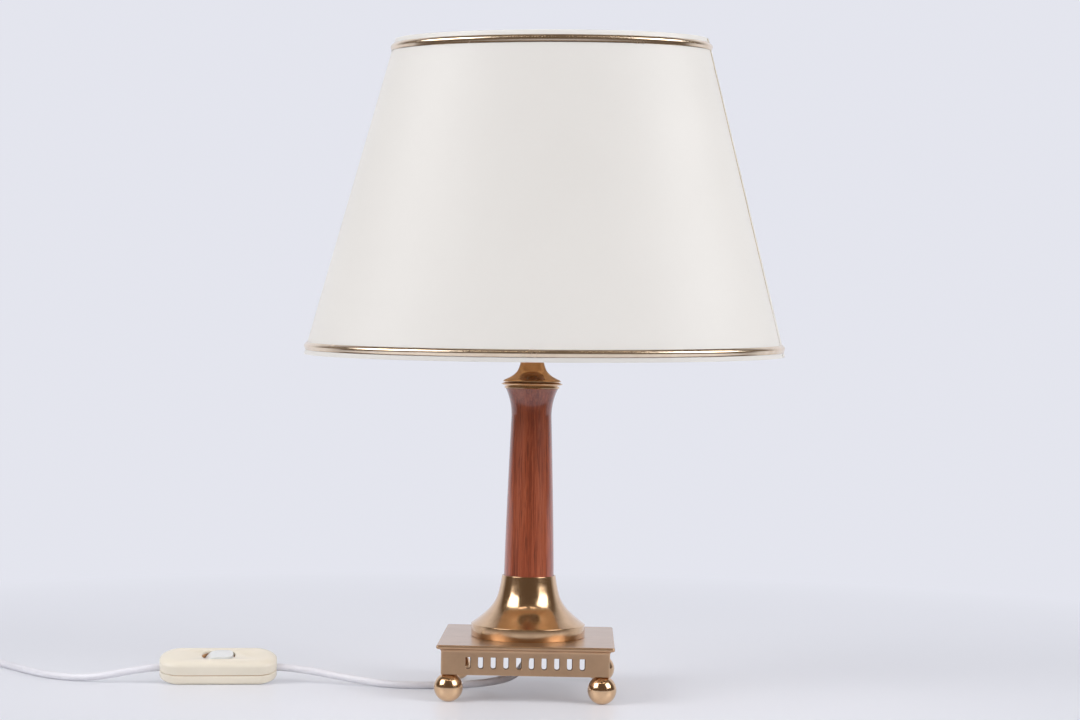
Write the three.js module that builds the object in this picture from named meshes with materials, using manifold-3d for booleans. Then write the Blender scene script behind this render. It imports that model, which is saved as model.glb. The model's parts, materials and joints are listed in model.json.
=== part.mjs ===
// Table lamp: an oval cone shade on a turned wooden column with a brass bell foot,
// which stands on a square pierced brass base with four ball feet.
// Units are millimetres and +Z is up. The front faces -Y and the lamp stands on z = 0.

import * as THREE from "three";
import { mergeVertices } from "three/addons/utils/BufferGeometryUtils.js";
import Module from "manifold-3d";

const wasm = await Module();
wasm.setup();

// Gaps that keep neighbouring pieces apart
const GAP = 0.3;
const SLIDE_GAP = 0.5;

// Ball feet
const BALL_RADIUS = 10.2;
const BALL_REST_RADIUS = 2.6;
const BALL_SEAT_RADIUS = 4;
const BALL_INSET = 5.3;

// Screws that hold the ball feet
const FOOT_SCREW_RADIUS = 1.9;
const FOOT_SCREW_LENGTH = 9;
const FOOT_SCREW_HEAD_RADIUS = 2.9;
const FOOT_SCREW_HEAD_HEIGHT = 2.2;

// Pierced skirt of the base
const SKIRT_WIDTH = 118.4;
const SKIRT_WALL = 2;
const SKIRT_HEIGHT = 18.15;
const SKIRT_CORNER = 1.2;
const COVE_RADIUS = 2.4;
const LUG_SIZE = 13;
const LUG_THICK = 2;
const SLOT_COUNT = 10;
const SLOT_PITCH = 8.9;
const SLOT_WIDTH = 4;
const SLOT_HEIGHT = 8.3;
const SLOT_CORNER = 1.2;
const SLOT_CENTRE_HEIGHT = 8.4;

// Base plate
const PLATE_OVERHANG = 3.3;
const PLATE_THICK = 2.8;
const PLATE_EDGE = 1.1;
const PLATE_CORNER = 1.6;

// Threaded tube and what clamps the stack from below
const TUBE_RADIUS = 5;
const TUBE_WALL = 1;
const WASHER_RADIUS = 20;
const WASHER_THICK = 1.5;
const NUT_ACROSS_FLATS = 17;
const NUT_THICK = 3;
const TUBE_BELOW_NUT = 1;
const TUBE_INTO_HOLDER = 9.9;
const BUSH_FLANGE_RADIUS = 6.5;
const BUSH_FLANGE_THICK = 1.2;
const BUSH_SPIGOT_LENGTH = 6;

// Bell foot and the weight inside it
const BELL_RADIUS = 41.3;
const BELL_FLANGE_HEIGHT = 8.9;
const BELL_HEIGHT = 44.2;
const BELL_WALL = 1;
const BELL_SEAT_DEPTH = 2.4;
// The sweep's shares of the way out from the lip and of the way up from the flange
const BELL_SWEEP_SHARES = [[1, 0], [0.66, 0.16], [0.35, 0.346], [0.16, 0.544], [0.055, 0.793], [0, 1]];
const BELL_STEPS = 9;
const BELL_INSIDE_STEPS = 6;
const WEIGHT_RADIUS = 36.5;
const WEIGHT_HEIGHT = 8.6;

// Wooden column
const WOOD_HEIGHT = 138;
const WOOD_FOOT_RADIUS = 18.2;
const WOOD_NECK_RADIUS = 14.65;
const WOOD_TOP_RADIUS = 19.1;
const WOOD_FLARE_HEIGHT = 20;
const SHAFT_SWELL_POWER = 1.25;
const FLARE_POWER = 2.1;

// Brass cap on the column
const CAP_BAND_RADIUS = 20;
const CAP_BAND_HEIGHT = 2.4;
const CAP_BEAD_RADIUS = 22.3;
const CAP_BEAD_HEIGHT = 3.8;
const CAP_CONE_HEIGHT = 14;
const CAP_NECK_RADIUS = 8.2;
const CAP_GROOVE = 0.4;
// The cone's shares of the way out from the neck and of the way up
const CAP_SWEEP_SHARES = [[1, 0], [0.54, 0.2], [0.25, 0.42], [0.1, 0.69], [0, 1]];

// Lamp holder
const LOCKNUT_THICK = 4;
const LOCKNUT_ACROSS_FLATS = 14;
const HOLDER_RADIUS = 19.2;
const HOLDER_WALL = 1.8;
const HOLDER_DOME_HEIGHT = 12;
const HOLDER_MOUTH_RADIUS = 9.6;
const HOLDER_KNEE_RADIUS = 16.5;
const HOLDER_KNEE_HEIGHT = 4.8;
const HOLDER_CAP_HEIGHT = 18;
const HOLDER_SLEEVE_HEIGHT = 40;
const CORE_SEAT_BELOW_CAP_TOP = 3.8;
const CORE_HEIGHT = 12;
const SHELL_RADIUS = 14;
const SHELL_WALL = 0.5;
const SHELL_HEIGHT = 25.5;
const CONTACT_RADIUS = 3;
const CONTACT_HEIGHT = 3;
const RING_WIDTH = 6.5;
const RING_THICK = 4;
const RING_BELOW_SLEEVE_TOP = 23;

// Bulb
const BULB_CAP_HEIGHT = 25.7;
const BULB_TIP_RADIUS = 5;
const BULB_TIP_HEIGHT = 1.6;
const BULB_CAP_TAPER = 3.6;
const BULB_CAP_CHAMFER = 0.6;
const BULB_RADIUS = 30;
const BULB_LENGTH = 105;
const BULB_NECK_RADIUS = 12.8;
const BULB_WALL = 1;
// Shares of the globe's radius and of the way from the cap up to the globe's middle
const BULB_SHOULDER_SHARES = [[0.455, 0.13], [0.73, 0.42], [0.94, 0.72]];

// Shade. Its rims are ovals, and its height is between the middles of the two gold trims.
const SHADE_BOTTOM_WIDTH = 346.4;
const SHADE_BOTTOM_DEPTH = 214.8;
const SHADE_TOP_WIDTH = 229.6;
const SHADE_TOP_DEPTH = 142.4;
const SHADE_HEIGHT = 215.9;
const SHADE_RIM = 6;
const SHADE_WALL = 1;
const SHADE_STEPS = 48;
const SHADE_DROP = 32.6;
const TRIM_HEIGHT = 5.4;
const TRIM_BULGE = 2;
const WIRE_RADIUS = 1.5;
const CARRIER_RING_WIDTH = 5.5;
const CARRIER_RING_THICK = 2.5;
const ARM_RADIUS = 1.1;
const ARM_REACH = 8;
const ARM_RISE = 5;
const ARM_COUNT = 4;
const ARM_SHOULDER_SHARE = 0.12;

// How the shade sits: off the column's axis, turned, and with its front and its left lowered
const SHADE_OFFSET = 7.7;
const SHADE_SKEW = 4.6;
const SHADE_TURN = THREE.MathUtils.degToRad(-3.2);
const SHADE_LEAN = THREE.MathUtils.degToRad(3.3);
const SHADE_TILT = THREE.MathUtils.degToRad(-0.4);

// Cord
const CORD_RADIUS = 2.75;
const CORD_SIDES = 10;
const CORD_STEP = 13.75;

// Coil of the spare cord: turns in two layers, from the outside in and out again
const COIL_CENTRE = new THREE.Vector2(-462.3, 72.2);
const COIL_OUTER_RADIUS = 41;
const COIL_PITCH = 6;
const COIL_TURNS = 3;
const COIL_START_ANGLE = THREE.MathUtils.degToRad(42);
const COIL_STEPS_PER_TURN = 24;
const COIL_SIDES = 6;

// In-line switch
const SWITCH_LENGTH = 85.3;
const SWITCH_WIDTH = 29;
const SWITCH_HEIGHT = 18;
const SWITCH_CORNER = 13.5;
const SWITCH_WALL = 1.8;
const SWITCH_TOP_EDGE = 4;
const SWITCH_BOTTOM_EDGE = 3;
const SWITCH_END_DRAW = 2.3;
const SWITCH_PARTING = 7.8;
const SWITCH_CENTRE = new THREE.Vector3(-227.2, 11, 11.2);
const SWITCH_HEADING = THREE.MathUtils.degToRad(8.65);
const SWITCH_ROLL = THREE.MathUtils.degToRad(18.5);
const CORD_INSIDE_SWITCH = 12.4;

// Rocker of the switch
const ROCKER_LENGTH = 23;
const ROCKER_WIDTH = 11.5;
const ROCKER_TILT = THREE.MathUtils.degToRad(11);
const ROCKER_PIVOT_DEPTH = 5;
const ROCKER_CREST = 6.4;
const ROCKER_DEPTH = 2.4;
const ROCKER_CLEARANCE = 0.6;
const PIN_RADIUS = 1;
const EAR_WIDTH = 5;
const EAR_THICK = 1.6;

// Small parts inside the switch
const SWITCH_SCREW_SPACING = 52;
const SWITCH_SCREW_RADIUS = 1.2;
const SWITCH_SCREW_HEAD_RADIUS = 2.4;
const SWITCH_SCREW_HEAD_HEIGHT = 1.2;
const SWITCH_SCREW_LENGTH = 11.5;
const BOSS_RADIUS = 3.2;
const CLAMP_SPACING = 64;
const CLAMP_THICK = 4;
const CLAMP_WALL = 2.2;
const FIXED_CONTACT_SPACING = 14;
const FIXED_CONTACT_SIZE = 4.5;
const FIXED_CONTACT_HEIGHT = 4;

// Plug
const PLUG_FACE_WIDTH = 35.3;
const PLUG_WAIST_WIDTH = 26.1;
const PLUG_THICK = 13.7;
const PLUG_LENGTH = 35;
const PLUG_EDGE = 4.4;
const PLUG_TAIL_WIDTH = 10.8;
const PLUG_PIN_RADIUS = 2;
const PLUG_PIN_LENGTH = 19;
const PLUG_PIN_SPACING = 18.6;
const PLUG_PIN_ROOT = 6;
const BOOT_LENGTH = 22;
const BOOT_RADIUS = 5;
const BOOT_TIP_RADIUS = 3.8;
const LEAD_TO_BOOT = 20;

const material = (color, roughness, metalness) =>
  new THREE.MeshStandardMaterial({ color, roughness, metalness });

const polishedBrass = material("#c99c60", 0.12, 1);
const satinBrass = material("#a98a66", 0.38, 1);
const paleGold = material("#d9c39a", 0.15, 1);
const steel = material("#a9abad", 0.4, 1);
const castIron = material("#4a4a4c", 0.75, 0.8);
const mahogany = material("#7d3a28", 0.22, 0);
const shadeLaminate = material("#f0ede5", 0.7, 0);
const ivoryPlastic = material("#ece2cb", 0.3, 0);
const whitePlastic = material("#f1f1ee", 0.35, 0);
const whiteCord = material("#e6e6e6", 0.5, 0);
const blackPlastic = material("#26262a", 0.5, 0);
const porcelain = material("#eeece6", 0.3, 0);
const opalGlass = material("#f6f5f0", 0.2, 0);

// Shapes in the plane

function circle(radius, count) {
  const at = (i) => (2 * Math.PI * i) / count;
  return Array.from({ length: count }, (_, i) =>
    new THREE.Vector2(radius * Math.cos(at(i)), radius * Math.sin(at(i))));
}

function oval(halfWidth, halfDepth, count) {
  return circle(1, count).map((p) => new THREE.Vector2(p.x * halfWidth, p.y * halfDepth));
}

function hexagon(acrossFlats) {
  return circle(acrossFlats / Math.sqrt(3), 6);
}

// Rounded rectangle, counterclockwise, with `steps` edges round each corner.
function roundedRectangle(width, depth, radius, steps) {
  const points = [];
  const quarters = [[1, 1], [-1, 1], [-1, -1], [1, -1]];
  quarters.forEach(([sideX, sideY], quarter) => {
    for (let i = 0; i <= steps; i++) {
      const angle = ((quarter + i / steps) * Math.PI) / 2;
      const x = sideX * (width / 2 - radius) + radius * Math.cos(angle);
      const y = sideY * (depth / 2 - radius) + radius * Math.sin(angle);
      points.push(new THREE.Vector2(x, y));
    }
  });
  return points;
}

const raised = (outline, z, shiftX = 0) =>
  outline.map((p) => new THREE.Vector3(p.x + shiftX, p.y, z));

// Geometry from rings, profiles, outlines and curves

// Skin over rings that hold as many points each. The two ends are capped, unless the last
// ring joins the first.
function loft(rings, joined = false) {
  const count = rings[0].length;
  const index = [];
  const bands = joined ? rings.length : rings.length - 1;
  for (let i = 0; i < bands; i++) {
    const low = i * count;
    const high = ((i + 1) % rings.length) * count;
    for (let j = 0; j < count; j++) {
      const k = (j + 1) % count;
      index.push(low + j, low + k, high + k);
      index.push(low + j, high + k, high + j);
    }
  }
  const top = (rings.length - 1) * count;
  for (let j = 1; j < count - 1 && !joined; j++) {
    index.push(0, j + 1, j);
    index.push(top, top + j, top + j + 1);
  }
  const geometry = new THREE.BufferGeometry();
  geometry.setFromPoints(rings.flat());
  geometry.setIndex(index);
  return geometry;
}

// Solid of revolution about Z from [radius, height] pairs that start and end on the axis.
function turned(profile, segments = 20) {
  const points = profile.map(([radius, height]) => new THREE.Vector2(radius, height));
  return new THREE.LatheGeometry(points, segments).rotateX(Math.PI / 2);
}

// The same for a profile that runs round a hole and closes on itself.
const turnedRing = (profile, segments = 20) => turned([...profile, profile[0]], segments);

// Plain tube or washer about Z.
const collar = (inner, outer, low, high, segments = 20) =>
  turnedRing([[inner, low], [outer, low], [outer, high], [inner, high]], segments);

// Prism of an outline between two heights, with straight holes.
function prism(outline, low, high, holes = []) {
  const shape = new THREE.Shape(outline);
  shape.holes = holes.map((hole) => new THREE.Path(hole));
  const options = { depth: high - low, bevelEnabled: false };
  return new THREE.ExtrudeGeometry(shape, options).translate(0, 0, low);
}

const block = (x, y, z, atX = 0, atY = 0, atZ = 0) =>
  new THREE.BoxGeometry(x, y, z).translate(atX, atY, atZ);

// Round bar along a smooth curve through the points.
function bar(points, radius, sides, steps) {
  const extrudePath = new THREE.CatmullRomCurve3(points, false, "centripetal");
  const shape = new THREE.Shape(circle(radius, sides));
  return new THREE.ExtrudeGeometry(shape, { extrudePath, steps, bevelEnabled: false });
}

// Tube whose section stands square to the line at each of its points.
function tubeThrough(line, section) {
  const up = new THREE.Vector3(0, 0, 1);
  const rings = line.map((point, i) => {
    const before = line[Math.max(i - 1, 0)];
    const after = line[Math.min(i + 1, line.length - 1)];
    const ahead = after.clone().sub(before).normalize();
    const sideways = up.clone().cross(ahead).normalize();
    const upwards = ahead.clone().cross(sideways);
    return section.map((p) =>
      point.clone().addScaledVector(sideways, p.x).addScaledVector(upwards, p.y));
  });
  return loft(rings);
}

// Joining and cutting

function solid(geometry) {
  const bare = geometry.clone();
  bare.deleteAttribute("normal");
  bare.deleteAttribute("uv");
  const merged = mergeVertices(bare, 1e-4);
  return new wasm.Manifold(new wasm.Mesh({
    numProp: 3,
    vertProperties: Float32Array.from(merged.attributes.position.array),
    triVerts: Uint32Array.from(merged.index.array),
  }));
}

function geometryOf(body) {
  const mesh = body.getMesh();
  const geometry = new THREE.BufferGeometry();
  geometry.setAttribute("position", new THREE.Float32BufferAttribute(mesh.vertProperties, 3));
  geometry.setIndex(Array.from(mesh.triVerts));
  return geometry;
}

const cut = (geometry, tools) =>
  geometryOf(tools.reduce((body, tool) => body.subtract(solid(tool)), solid(geometry)));

const join = (pieces) =>
  geometryOf(pieces.map(solid).reduce((body, piece) => body.add(piece)));

function place(group, name, geometry, finish, x = 0, y = 0, z = 0) {
  if (!geometry.attributes.normal) geometry.computeVertexNormals();
  const mesh = new THREE.Mesh(geometry, finish);
  mesh.name = name;
  mesh.position.set(x, y, z);
  group.add(mesh);
}

// Heights of the stack, from the floor up
const ballCentre = Math.sqrt(BALL_RADIUS ** 2 - BALL_REST_RADIUS ** 2);
const skirtBottom = ballCentre + Math.sqrt(BALL_RADIUS ** 2 - BALL_SEAT_RADIUS ** 2);
const plateBottom = skirtBottom + SKIRT_HEIGHT;
const plateTop = plateBottom + PLATE_THICK;
const bellTop = plateTop + BELL_HEIGHT;
const woodBottom = bellTop - BELL_SEAT_DEPTH;
const woodTop = woodBottom + WOOD_HEIGHT;
const beadBottom = woodTop + CAP_BAND_HEIGHT;
const coneBottom = beadBottom + CAP_BEAD_HEIGHT;
const capTop = coneBottom + CAP_CONE_HEIGHT;
const holderBottom = capTop + LOCKNUT_THICK;
const sleeveBottom = holderBottom + HOLDER_CAP_HEIGHT;
const sleeveTop = sleeveBottom + HOLDER_SLEEVE_HEIGHT;
const coreBottom = sleeveBottom - CORE_SEAT_BELOW_CAP_TOP + GAP;
const coreTop = coreBottom + CORE_HEIGHT;
const bulbBottom = coreTop + CONTACT_HEIGHT + GAP;
const bulbCapTop = bulbBottom + BULB_CAP_HEIGHT;
const ringBottom = sleeveTop - RING_BELOW_SLEEVE_TOP;
const carrierBottom = ringBottom + RING_THICK;
const nutTop = plateBottom - WASHER_THICK;
const tubeBottom = nutTop - NUT_THICK - TUBE_BELOW_NUT;
const bushBottom = tubeBottom - BUSH_FLANGE_THICK;
const innerCordTop = coreBottom - GAP;
const tubeTop = holderBottom + TUBE_INTO_HOLDER;

const ballPlace = SKIRT_WIDTH / 2 - BALL_INSET;
const tubeBore = TUBE_RADIUS + GAP;
const lugTop = skirtBottom + LUG_THICK;

const corners = [[-1, -1], [1, -1], [1, 1], [-1, 1]];
const cornerNames = ["front_left", "front_right", "back_right", "back_left"];

// Base

function ballFoot() {
  const bore = FOOT_SCREW_RADIUS + GAP;
  const depth = FOOT_SCREW_LENGTH - LUG_THICK + SLIDE_GAP;
  const seat = Math.asin(BALL_SEAT_RADIUS / BALL_RADIUS);
  const rest = Math.PI - Math.asin(BALL_REST_RADIUS / BALL_RADIUS);
  const seatHeight = BALL_RADIUS * Math.cos(seat);
  const steps = 8;
  const profile = [[0, -BALL_RADIUS * Math.cos(Math.PI - rest)]];
  for (let i = 0; i <= steps; i++) {
    const angle = rest + ((seat - rest) * i) / steps;
    profile.push([BALL_RADIUS * Math.sin(angle), BALL_RADIUS * Math.cos(angle)]);
  }
  profile.push([bore, seatHeight], [bore, seatHeight - depth], [0, seatHeight - depth]);
  return turned(profile, 18);
}

function footScrew() {
  const head = lugTop + FOOT_SCREW_HEAD_HEIGHT;
  const tip = lugTop - FOOT_SCREW_LENGTH;
  return turned([
    [0, tip],
    [FOOT_SCREW_RADIUS, tip],
    [FOOT_SCREW_RADIUS, lugTop],
    [FOOT_SCREW_HEAD_RADIUS, lugTop],
    [FOOT_SCREW_HEAD_RADIUS, head - 0.8],
    [0.6 * FOOT_SCREW_HEAD_RADIUS, head],
    [0, head],
  ], 10);
}

const squareRing = (half, z, corner) =>
  raised(roundedRectangle(2 * half, 2 * half, corner, 2), z);

function baseSkirt() {
  const outer = SKIRT_WIDTH / 2;
  const inner = outer - SKIRT_WALL;
  const rings = [squareRing(outer, skirtBottom, SKIRT_CORNER)];
  const coveSteps = 4;
  for (let i = 0; i <= coveSteps; i++) {
    const angle = (i / coveSteps) * (Math.PI / 2);
    const half = outer + COVE_RADIUS * (1 - Math.cos(angle));
    rings.push(squareRing(half, plateBottom - COVE_RADIUS * (1 - Math.sin(angle)), SKIRT_CORNER));
  }
  rings.push(squareRing(inner, plateBottom, SKIRT_CORNER));
  rings.push(squareRing(inner, skirtBottom, SKIRT_CORNER));

  const lugPlace = inner - LUG_SIZE / 2 + SKIRT_WALL / 4;
  const lugWidth = LUG_SIZE + SKIRT_WALL / 2;
  const lugs = corners.map(([x, y]) =>
    block(lugWidth, lugWidth, LUG_THICK, x * lugPlace, y * lugPlace, skirtBottom + LUG_THICK / 2));
  const holes = corners.map(([x, y]) =>
    prism(circle(FOOT_SCREW_RADIUS + GAP, 12), skirtBottom - 1, lugTop + 1)
      .translate(x * ballPlace, y * ballPlace, 0));

  const slots = [];
  const slotOutline = roundedRectangle(SLOT_WIDTH, SLOT_HEIGHT, SLOT_CORNER, 1);
  for (let i = 0; i < SLOT_COUNT; i++) {
    const along = (i - (SLOT_COUNT - 1) / 2) * SLOT_PITCH;
    const slot = prism(slotOutline, -SKIRT_WIDTH, SKIRT_WIDTH)
      .rotateX(Math.PI / 2)
      .translate(along, 0, skirtBottom + SLOT_CENTRE_HEIGHT);
    slots.push(slot, slot.clone().rotateZ(Math.PI / 2));
  }
  return cut(join([loft(rings, true), ...lugs]), [...holes, ...slots]);
}

function basePlate() {
  const half = SKIRT_WIDTH / 2 + PLATE_OVERHANG;
  const middle = plateBottom + PLATE_THICK / 2;
  const rings = [
    squareRing(half - PLATE_EDGE, plateBottom, PLATE_CORNER),
    squareRing(half - 0.3 * PLATE_EDGE, middle - 0.7 * PLATE_EDGE, PLATE_CORNER),
    squareRing(half, middle, PLATE_CORNER),
    squareRing(half - 0.3 * PLATE_EDGE, middle + 0.7 * PLATE_EDGE, PLATE_CORNER),
    squareRing(half - PLATE_EDGE, plateTop, PLATE_CORNER),
  ];
  return cut(loft(rings), [prism(circle(tubeBore, 16), plateBottom - 1, plateTop + 1)]);
}

function base(group) {
  place(group, "base_plate", basePlate(), satinBrass);
  place(group, "base_skirt", baseSkirt(), satinBrass);
  corners.forEach(([x, y], i) => {
    const name = cornerNames[i];
    place(group, `ball_foot_${name}`, ballFoot(), polishedBrass, x * ballPlace, y * ballPlace, ballCentre);
    place(group, `foot_screw_${name}`, footScrew(), steel, x * ballPlace, y * ballPlace);
  });
}

// Threaded tube, and the clamping pieces under the plate

function clampingPieces(group) {
  const bore = TUBE_RADIUS - TUBE_WALL;
  const cordHole = CORD_RADIUS + GAP;
  const spigot = bore - GAP;
  const bush = [
    [cordHole, bushBottom],
    [BUSH_FLANGE_RADIUS, bushBottom],
    [BUSH_FLANGE_RADIUS, tubeBottom],
    [spigot, tubeBottom],
    [spigot, tubeBottom + BUSH_SPIGOT_LENGTH],
    [cordHole, tubeBottom + BUSH_SPIGOT_LENGTH],
  ];
  const nut = prism(hexagon(NUT_ACROSS_FLATS), nutTop - NUT_THICK, nutTop, [circle(tubeBore, 16)]);
  const cord = turned([
    [0, bushBottom],
    [CORD_RADIUS, bushBottom],
    [CORD_RADIUS, innerCordTop],
    [0, innerCordTop],
  ], 12);
  place(group, "threaded_tube", collar(bore, TUBE_RADIUS, tubeBottom, tubeTop, 16), steel);
  place(group, "base_washer", collar(tubeBore, WASHER_RADIUS, nutTop, plateBottom), steel);
  place(group, "base_nut", nut, steel);
  place(group, "tube_bush", turnedRing(bush, 16), blackPlastic);
  place(group, "inner_cord", cord, whiteCord);
}

// Bell foot, column and cap

// Outer line of the bell from its flange up to the lip, as [radius, height above the plate].
function bellOutline(inset, steps) {
  const neck = WOOD_FOOT_RADIUS + GAP + BELL_WALL;
  const rise = BELL_HEIGHT - BELL_FLANGE_HEIGHT;
  const run = BELL_RADIUS - neck;
  const sweep = new THREE.SplineCurve(BELL_SWEEP_SHARES.map(([out, up]) =>
    new THREE.Vector2(neck + out * run, BELL_FLANGE_HEIGHT + up * rise)));
  const flange = [[BELL_RADIUS - inset, 0], [BELL_RADIUS - inset, BELL_FLANGE_HEIGHT - inset / 2]];
  const above = sweep.getSpacedPoints(steps).slice(1);
  return [...flange, ...above.map((p) => [p.x - inset, p.y - inset / 2])];
}

function bellFoot() {
  const lip = WOOD_FOOT_RADIUS + GAP;
  const seat = BELL_HEIGHT - BELL_SEAT_DEPTH;
  const outside = bellOutline(0, BELL_STEPS);
  const inside = bellOutline(BELL_WALL, BELL_INSIDE_STEPS)
    .filter(([, z]) => z < seat - 2 * BELL_WALL)
    .reverse();
  const profile = [
    ...outside,
    [lip, BELL_HEIGHT],
    [lip, seat],
    [tubeBore, seat],
    [tubeBore, seat - BELL_WALL],
    [lip - BELL_WALL, seat - BELL_WALL],
    ...inside,
  ];
  return turnedRing(profile, 30).translate(0, 0, plateTop);
}

function woodColumn() {
  const neckHeight = WOOD_HEIGHT - WOOD_FLARE_HEIGHT;
  const profile = [[tubeBore, 0]];
  const shaftSteps = 5;
  for (let i = 0; i <= shaftSteps; i++) {
    const share = i / shaftSteps;
    const taper = (WOOD_FOOT_RADIUS - WOOD_NECK_RADIUS) * share ** SHAFT_SWELL_POWER;
    profile.push([WOOD_FOOT_RADIUS - taper, neckHeight * share]);
  }
  const flareSteps = 5;
  for (let i = 1; i <= flareSteps; i++) {
    const share = i / flareSteps;
    const flare = (WOOD_TOP_RADIUS - WOOD_NECK_RADIUS) * share ** FLARE_POWER;
    profile.push([WOOD_NECK_RADIUS + flare, neckHeight + WOOD_FLARE_HEIGHT * share]);
  }
  profile.push([tubeBore, WOOD_HEIGHT]);
  return turnedRing(profile, 24).translate(0, 0, woodBottom);
}

function columnCap() {
  const groove = CAP_GROOVE;
  const shoulder = CAP_BAND_RADIUS + groove;
  const beadMiddle = beadBottom + CAP_BEAD_HEIGHT / 2;
  const run = shoulder - CAP_NECK_RADIUS;
  const cone = new THREE.SplineCurve(CAP_SWEEP_SHARES.map(([out, up]) =>
    new THREE.Vector2(CAP_NECK_RADIUS + out * run, coneBottom + up * CAP_CONE_HEIGHT)));
  return turnedRing([
    [tubeBore, woodTop],
    [CAP_BAND_RADIUS, woodTop],
    [CAP_BAND_RADIUS, beadBottom - groove],
    [CAP_BAND_RADIUS - groove, beadBottom],
    [shoulder, beadBottom + groove],
    [CAP_BEAD_RADIUS - groove, beadMiddle - groove],
    [CAP_BEAD_RADIUS, beadMiddle],
    [CAP_BEAD_RADIUS - groove, beadMiddle + groove],
    ...cone.getSpacedPoints(7).map((p) => [p.x, p.y]),
    [tubeBore, capTop],
  ], 26);
}

function column(group) {
  const weight = collar(tubeBore, WEIGHT_RADIUS, plateTop, plateTop + WEIGHT_HEIGHT, 24);
  place(group, "bell_foot", bellFoot(), polishedBrass);
  place(group, "foot_weight", weight, castIron);
  place(group, "wood_column", woodColumn(), mahogany);
  place(group, "column_cap", columnCap(), polishedBrass);
}

// Lamp holder and bulb

function holderCap() {
  const inner = HOLDER_RADIUS - HOLDER_WALL;
  const shoulder = sleeveBottom - CORE_SEAT_BELOW_CAP_TOP;
  const floor = holderBottom + HOLDER_WALL;
  const dome = holderBottom + HOLDER_DOME_HEIGHT;
  return turnedRing([
    [tubeBore, holderBottom],
    [HOLDER_MOUTH_RADIUS, holderBottom],
    [HOLDER_KNEE_RADIUS, holderBottom + HOLDER_KNEE_HEIGHT],
    [HOLDER_RADIUS, dome],
    [HOLDER_RADIUS, sleeveBottom],
    [inner, sleeveBottom],
    [inner, shoulder],
    [HOLDER_KNEE_RADIUS - HOLDER_WALL, floor + HOLDER_KNEE_HEIGHT],
    [HOLDER_MOUTH_RADIUS - HOLDER_WALL, floor],
    [tubeBore, floor],
  ]);
}

function holder(group) {
  const inner = HOLDER_RADIUS - HOLDER_WALL;
  const locknut = prism(hexagon(LOCKNUT_ACROSS_FLATS), capTop, holderBottom, [circle(tubeBore, 16)]);
  const core = turned([[0, coreBottom], [inner - GAP, coreBottom], [inner - GAP, coreTop], [0, coreTop]]);
  const shellTop = coreTop + SHELL_HEIGHT;
  const shell = turnedRing([
    [CONTACT_RADIUS + 1, coreTop],
    [SHELL_RADIUS, coreTop],
    [SHELL_RADIUS, shellTop],
    [SHELL_RADIUS - SHELL_WALL, shellTop],
    [SHELL_RADIUS - SHELL_WALL, coreTop + SHELL_WALL],
    [CONTACT_RADIUS + 1, coreTop + SHELL_WALL],
  ]);
  const contactTop = coreTop + CONTACT_HEIGHT;
  const contact = turned([
    [0, coreTop],
    [CONTACT_RADIUS, coreTop],
    [CONTACT_RADIUS, contactTop - 1],
    [CONTACT_RADIUS - 1, contactTop],
    [0, contactTop],
  ], 12);
  const ringBore = HOLDER_RADIUS + GAP;
  const ringOuter = ringBore + RING_WIDTH;
  const upperRing = carrierBottom + CARRIER_RING_THICK;
  place(group, "holder_locknut", locknut, steel);
  place(group, "holder_cap", holderCap(), blackPlastic);
  place(group, "holder_sleeve", collar(inner, HOLDER_RADIUS, sleeveBottom, sleeveTop), blackPlastic);
  place(group, "holder_core", core, porcelain);
  place(group, "screw_shell", shell, polishedBrass);
  place(group, "centre_contact", contact, polishedBrass);
  place(group, "shade_ring_lower", collar(ringBore, ringOuter, ringBottom, carrierBottom), blackPlastic);
  place(group, "shade_ring_upper", collar(ringBore, ringOuter, upperRing, upperRing + RING_THICK), blackPlastic);
}

function bulb(group) {
  const capRadius = SHELL_RADIUS - SHELL_WALL - GAP;
  const taperBottom = bulbBottom + BULB_TIP_HEIGHT;
  const taperTop = taperBottom + BULB_CAP_TAPER;
  const cap = turned([
    [0, bulbBottom],
    [BULB_TIP_RADIUS, bulbBottom],
    [BULB_TIP_RADIUS + BULB_CAP_CHAMFER, taperBottom],
    [capRadius - BULB_CAP_CHAMFER, taperTop],
    [capRadius, taperTop + BULB_CAP_CHAMFER],
    [capRadius, bulbCapTop],
    [0, bulbCapTop],
  ]);
  const globe = bulbBottom + BULB_LENGTH - BULB_RADIUS;
  const outline = (inset) => {
    const shoulder = BULB_SHOULDER_SHARES.map(([out, up]) =>
      [out * BULB_RADIUS - inset, THREE.MathUtils.lerp(bulbCapTop, globe, up)]);
    const line = [[BULB_NECK_RADIUS - inset, bulbCapTop], ...shoulder];
    const steps = 6;
    for (let i = 0; i <= steps; i++) {
      const angle = (i / steps) * (Math.PI / 2);
      const radius = BULB_RADIUS - inset;
      line.push([radius * Math.cos(angle), globe + radius * Math.sin(angle)]);
    }
    line[line.length - 1][0] = 0;
    return line;
  };
  place(group, "bulb_cap", cap, polishedBrass);
  place(group, "bulb_glass", turned([...outline(BULB_WALL).reverse(), ...outline(0)]), opalGlass);
}

// Shade

// Middle of the shade's outside at a height above the bottom trim, and half its sizes there.
function shadeSection(height) {
  const share = height / SHADE_HEIGHT;
  return {
    x: SHADE_SKEW * share,
    halfWidth: THREE.MathUtils.lerp(SHADE_BOTTOM_WIDTH, SHADE_TOP_WIDTH, share) / 2,
    halfDepth: THREE.MathUtils.lerp(SHADE_BOTTOM_DEPTH, SHADE_TOP_DEPTH, share) / 2,
  };
}

// Oval ring that stands `out` proud of the shade's outside at a height.
function shadeRing(height, out) {
  const { x, halfWidth, halfDepth } = shadeSection(height);
  return raised(oval(halfWidth + out, halfDepth + out, SHADE_STEPS), height, x);
}

const sweptRing = (height, section) =>
  loft(section.map(([out, up]) => shadeRing(height + up, out)), true);

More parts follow.
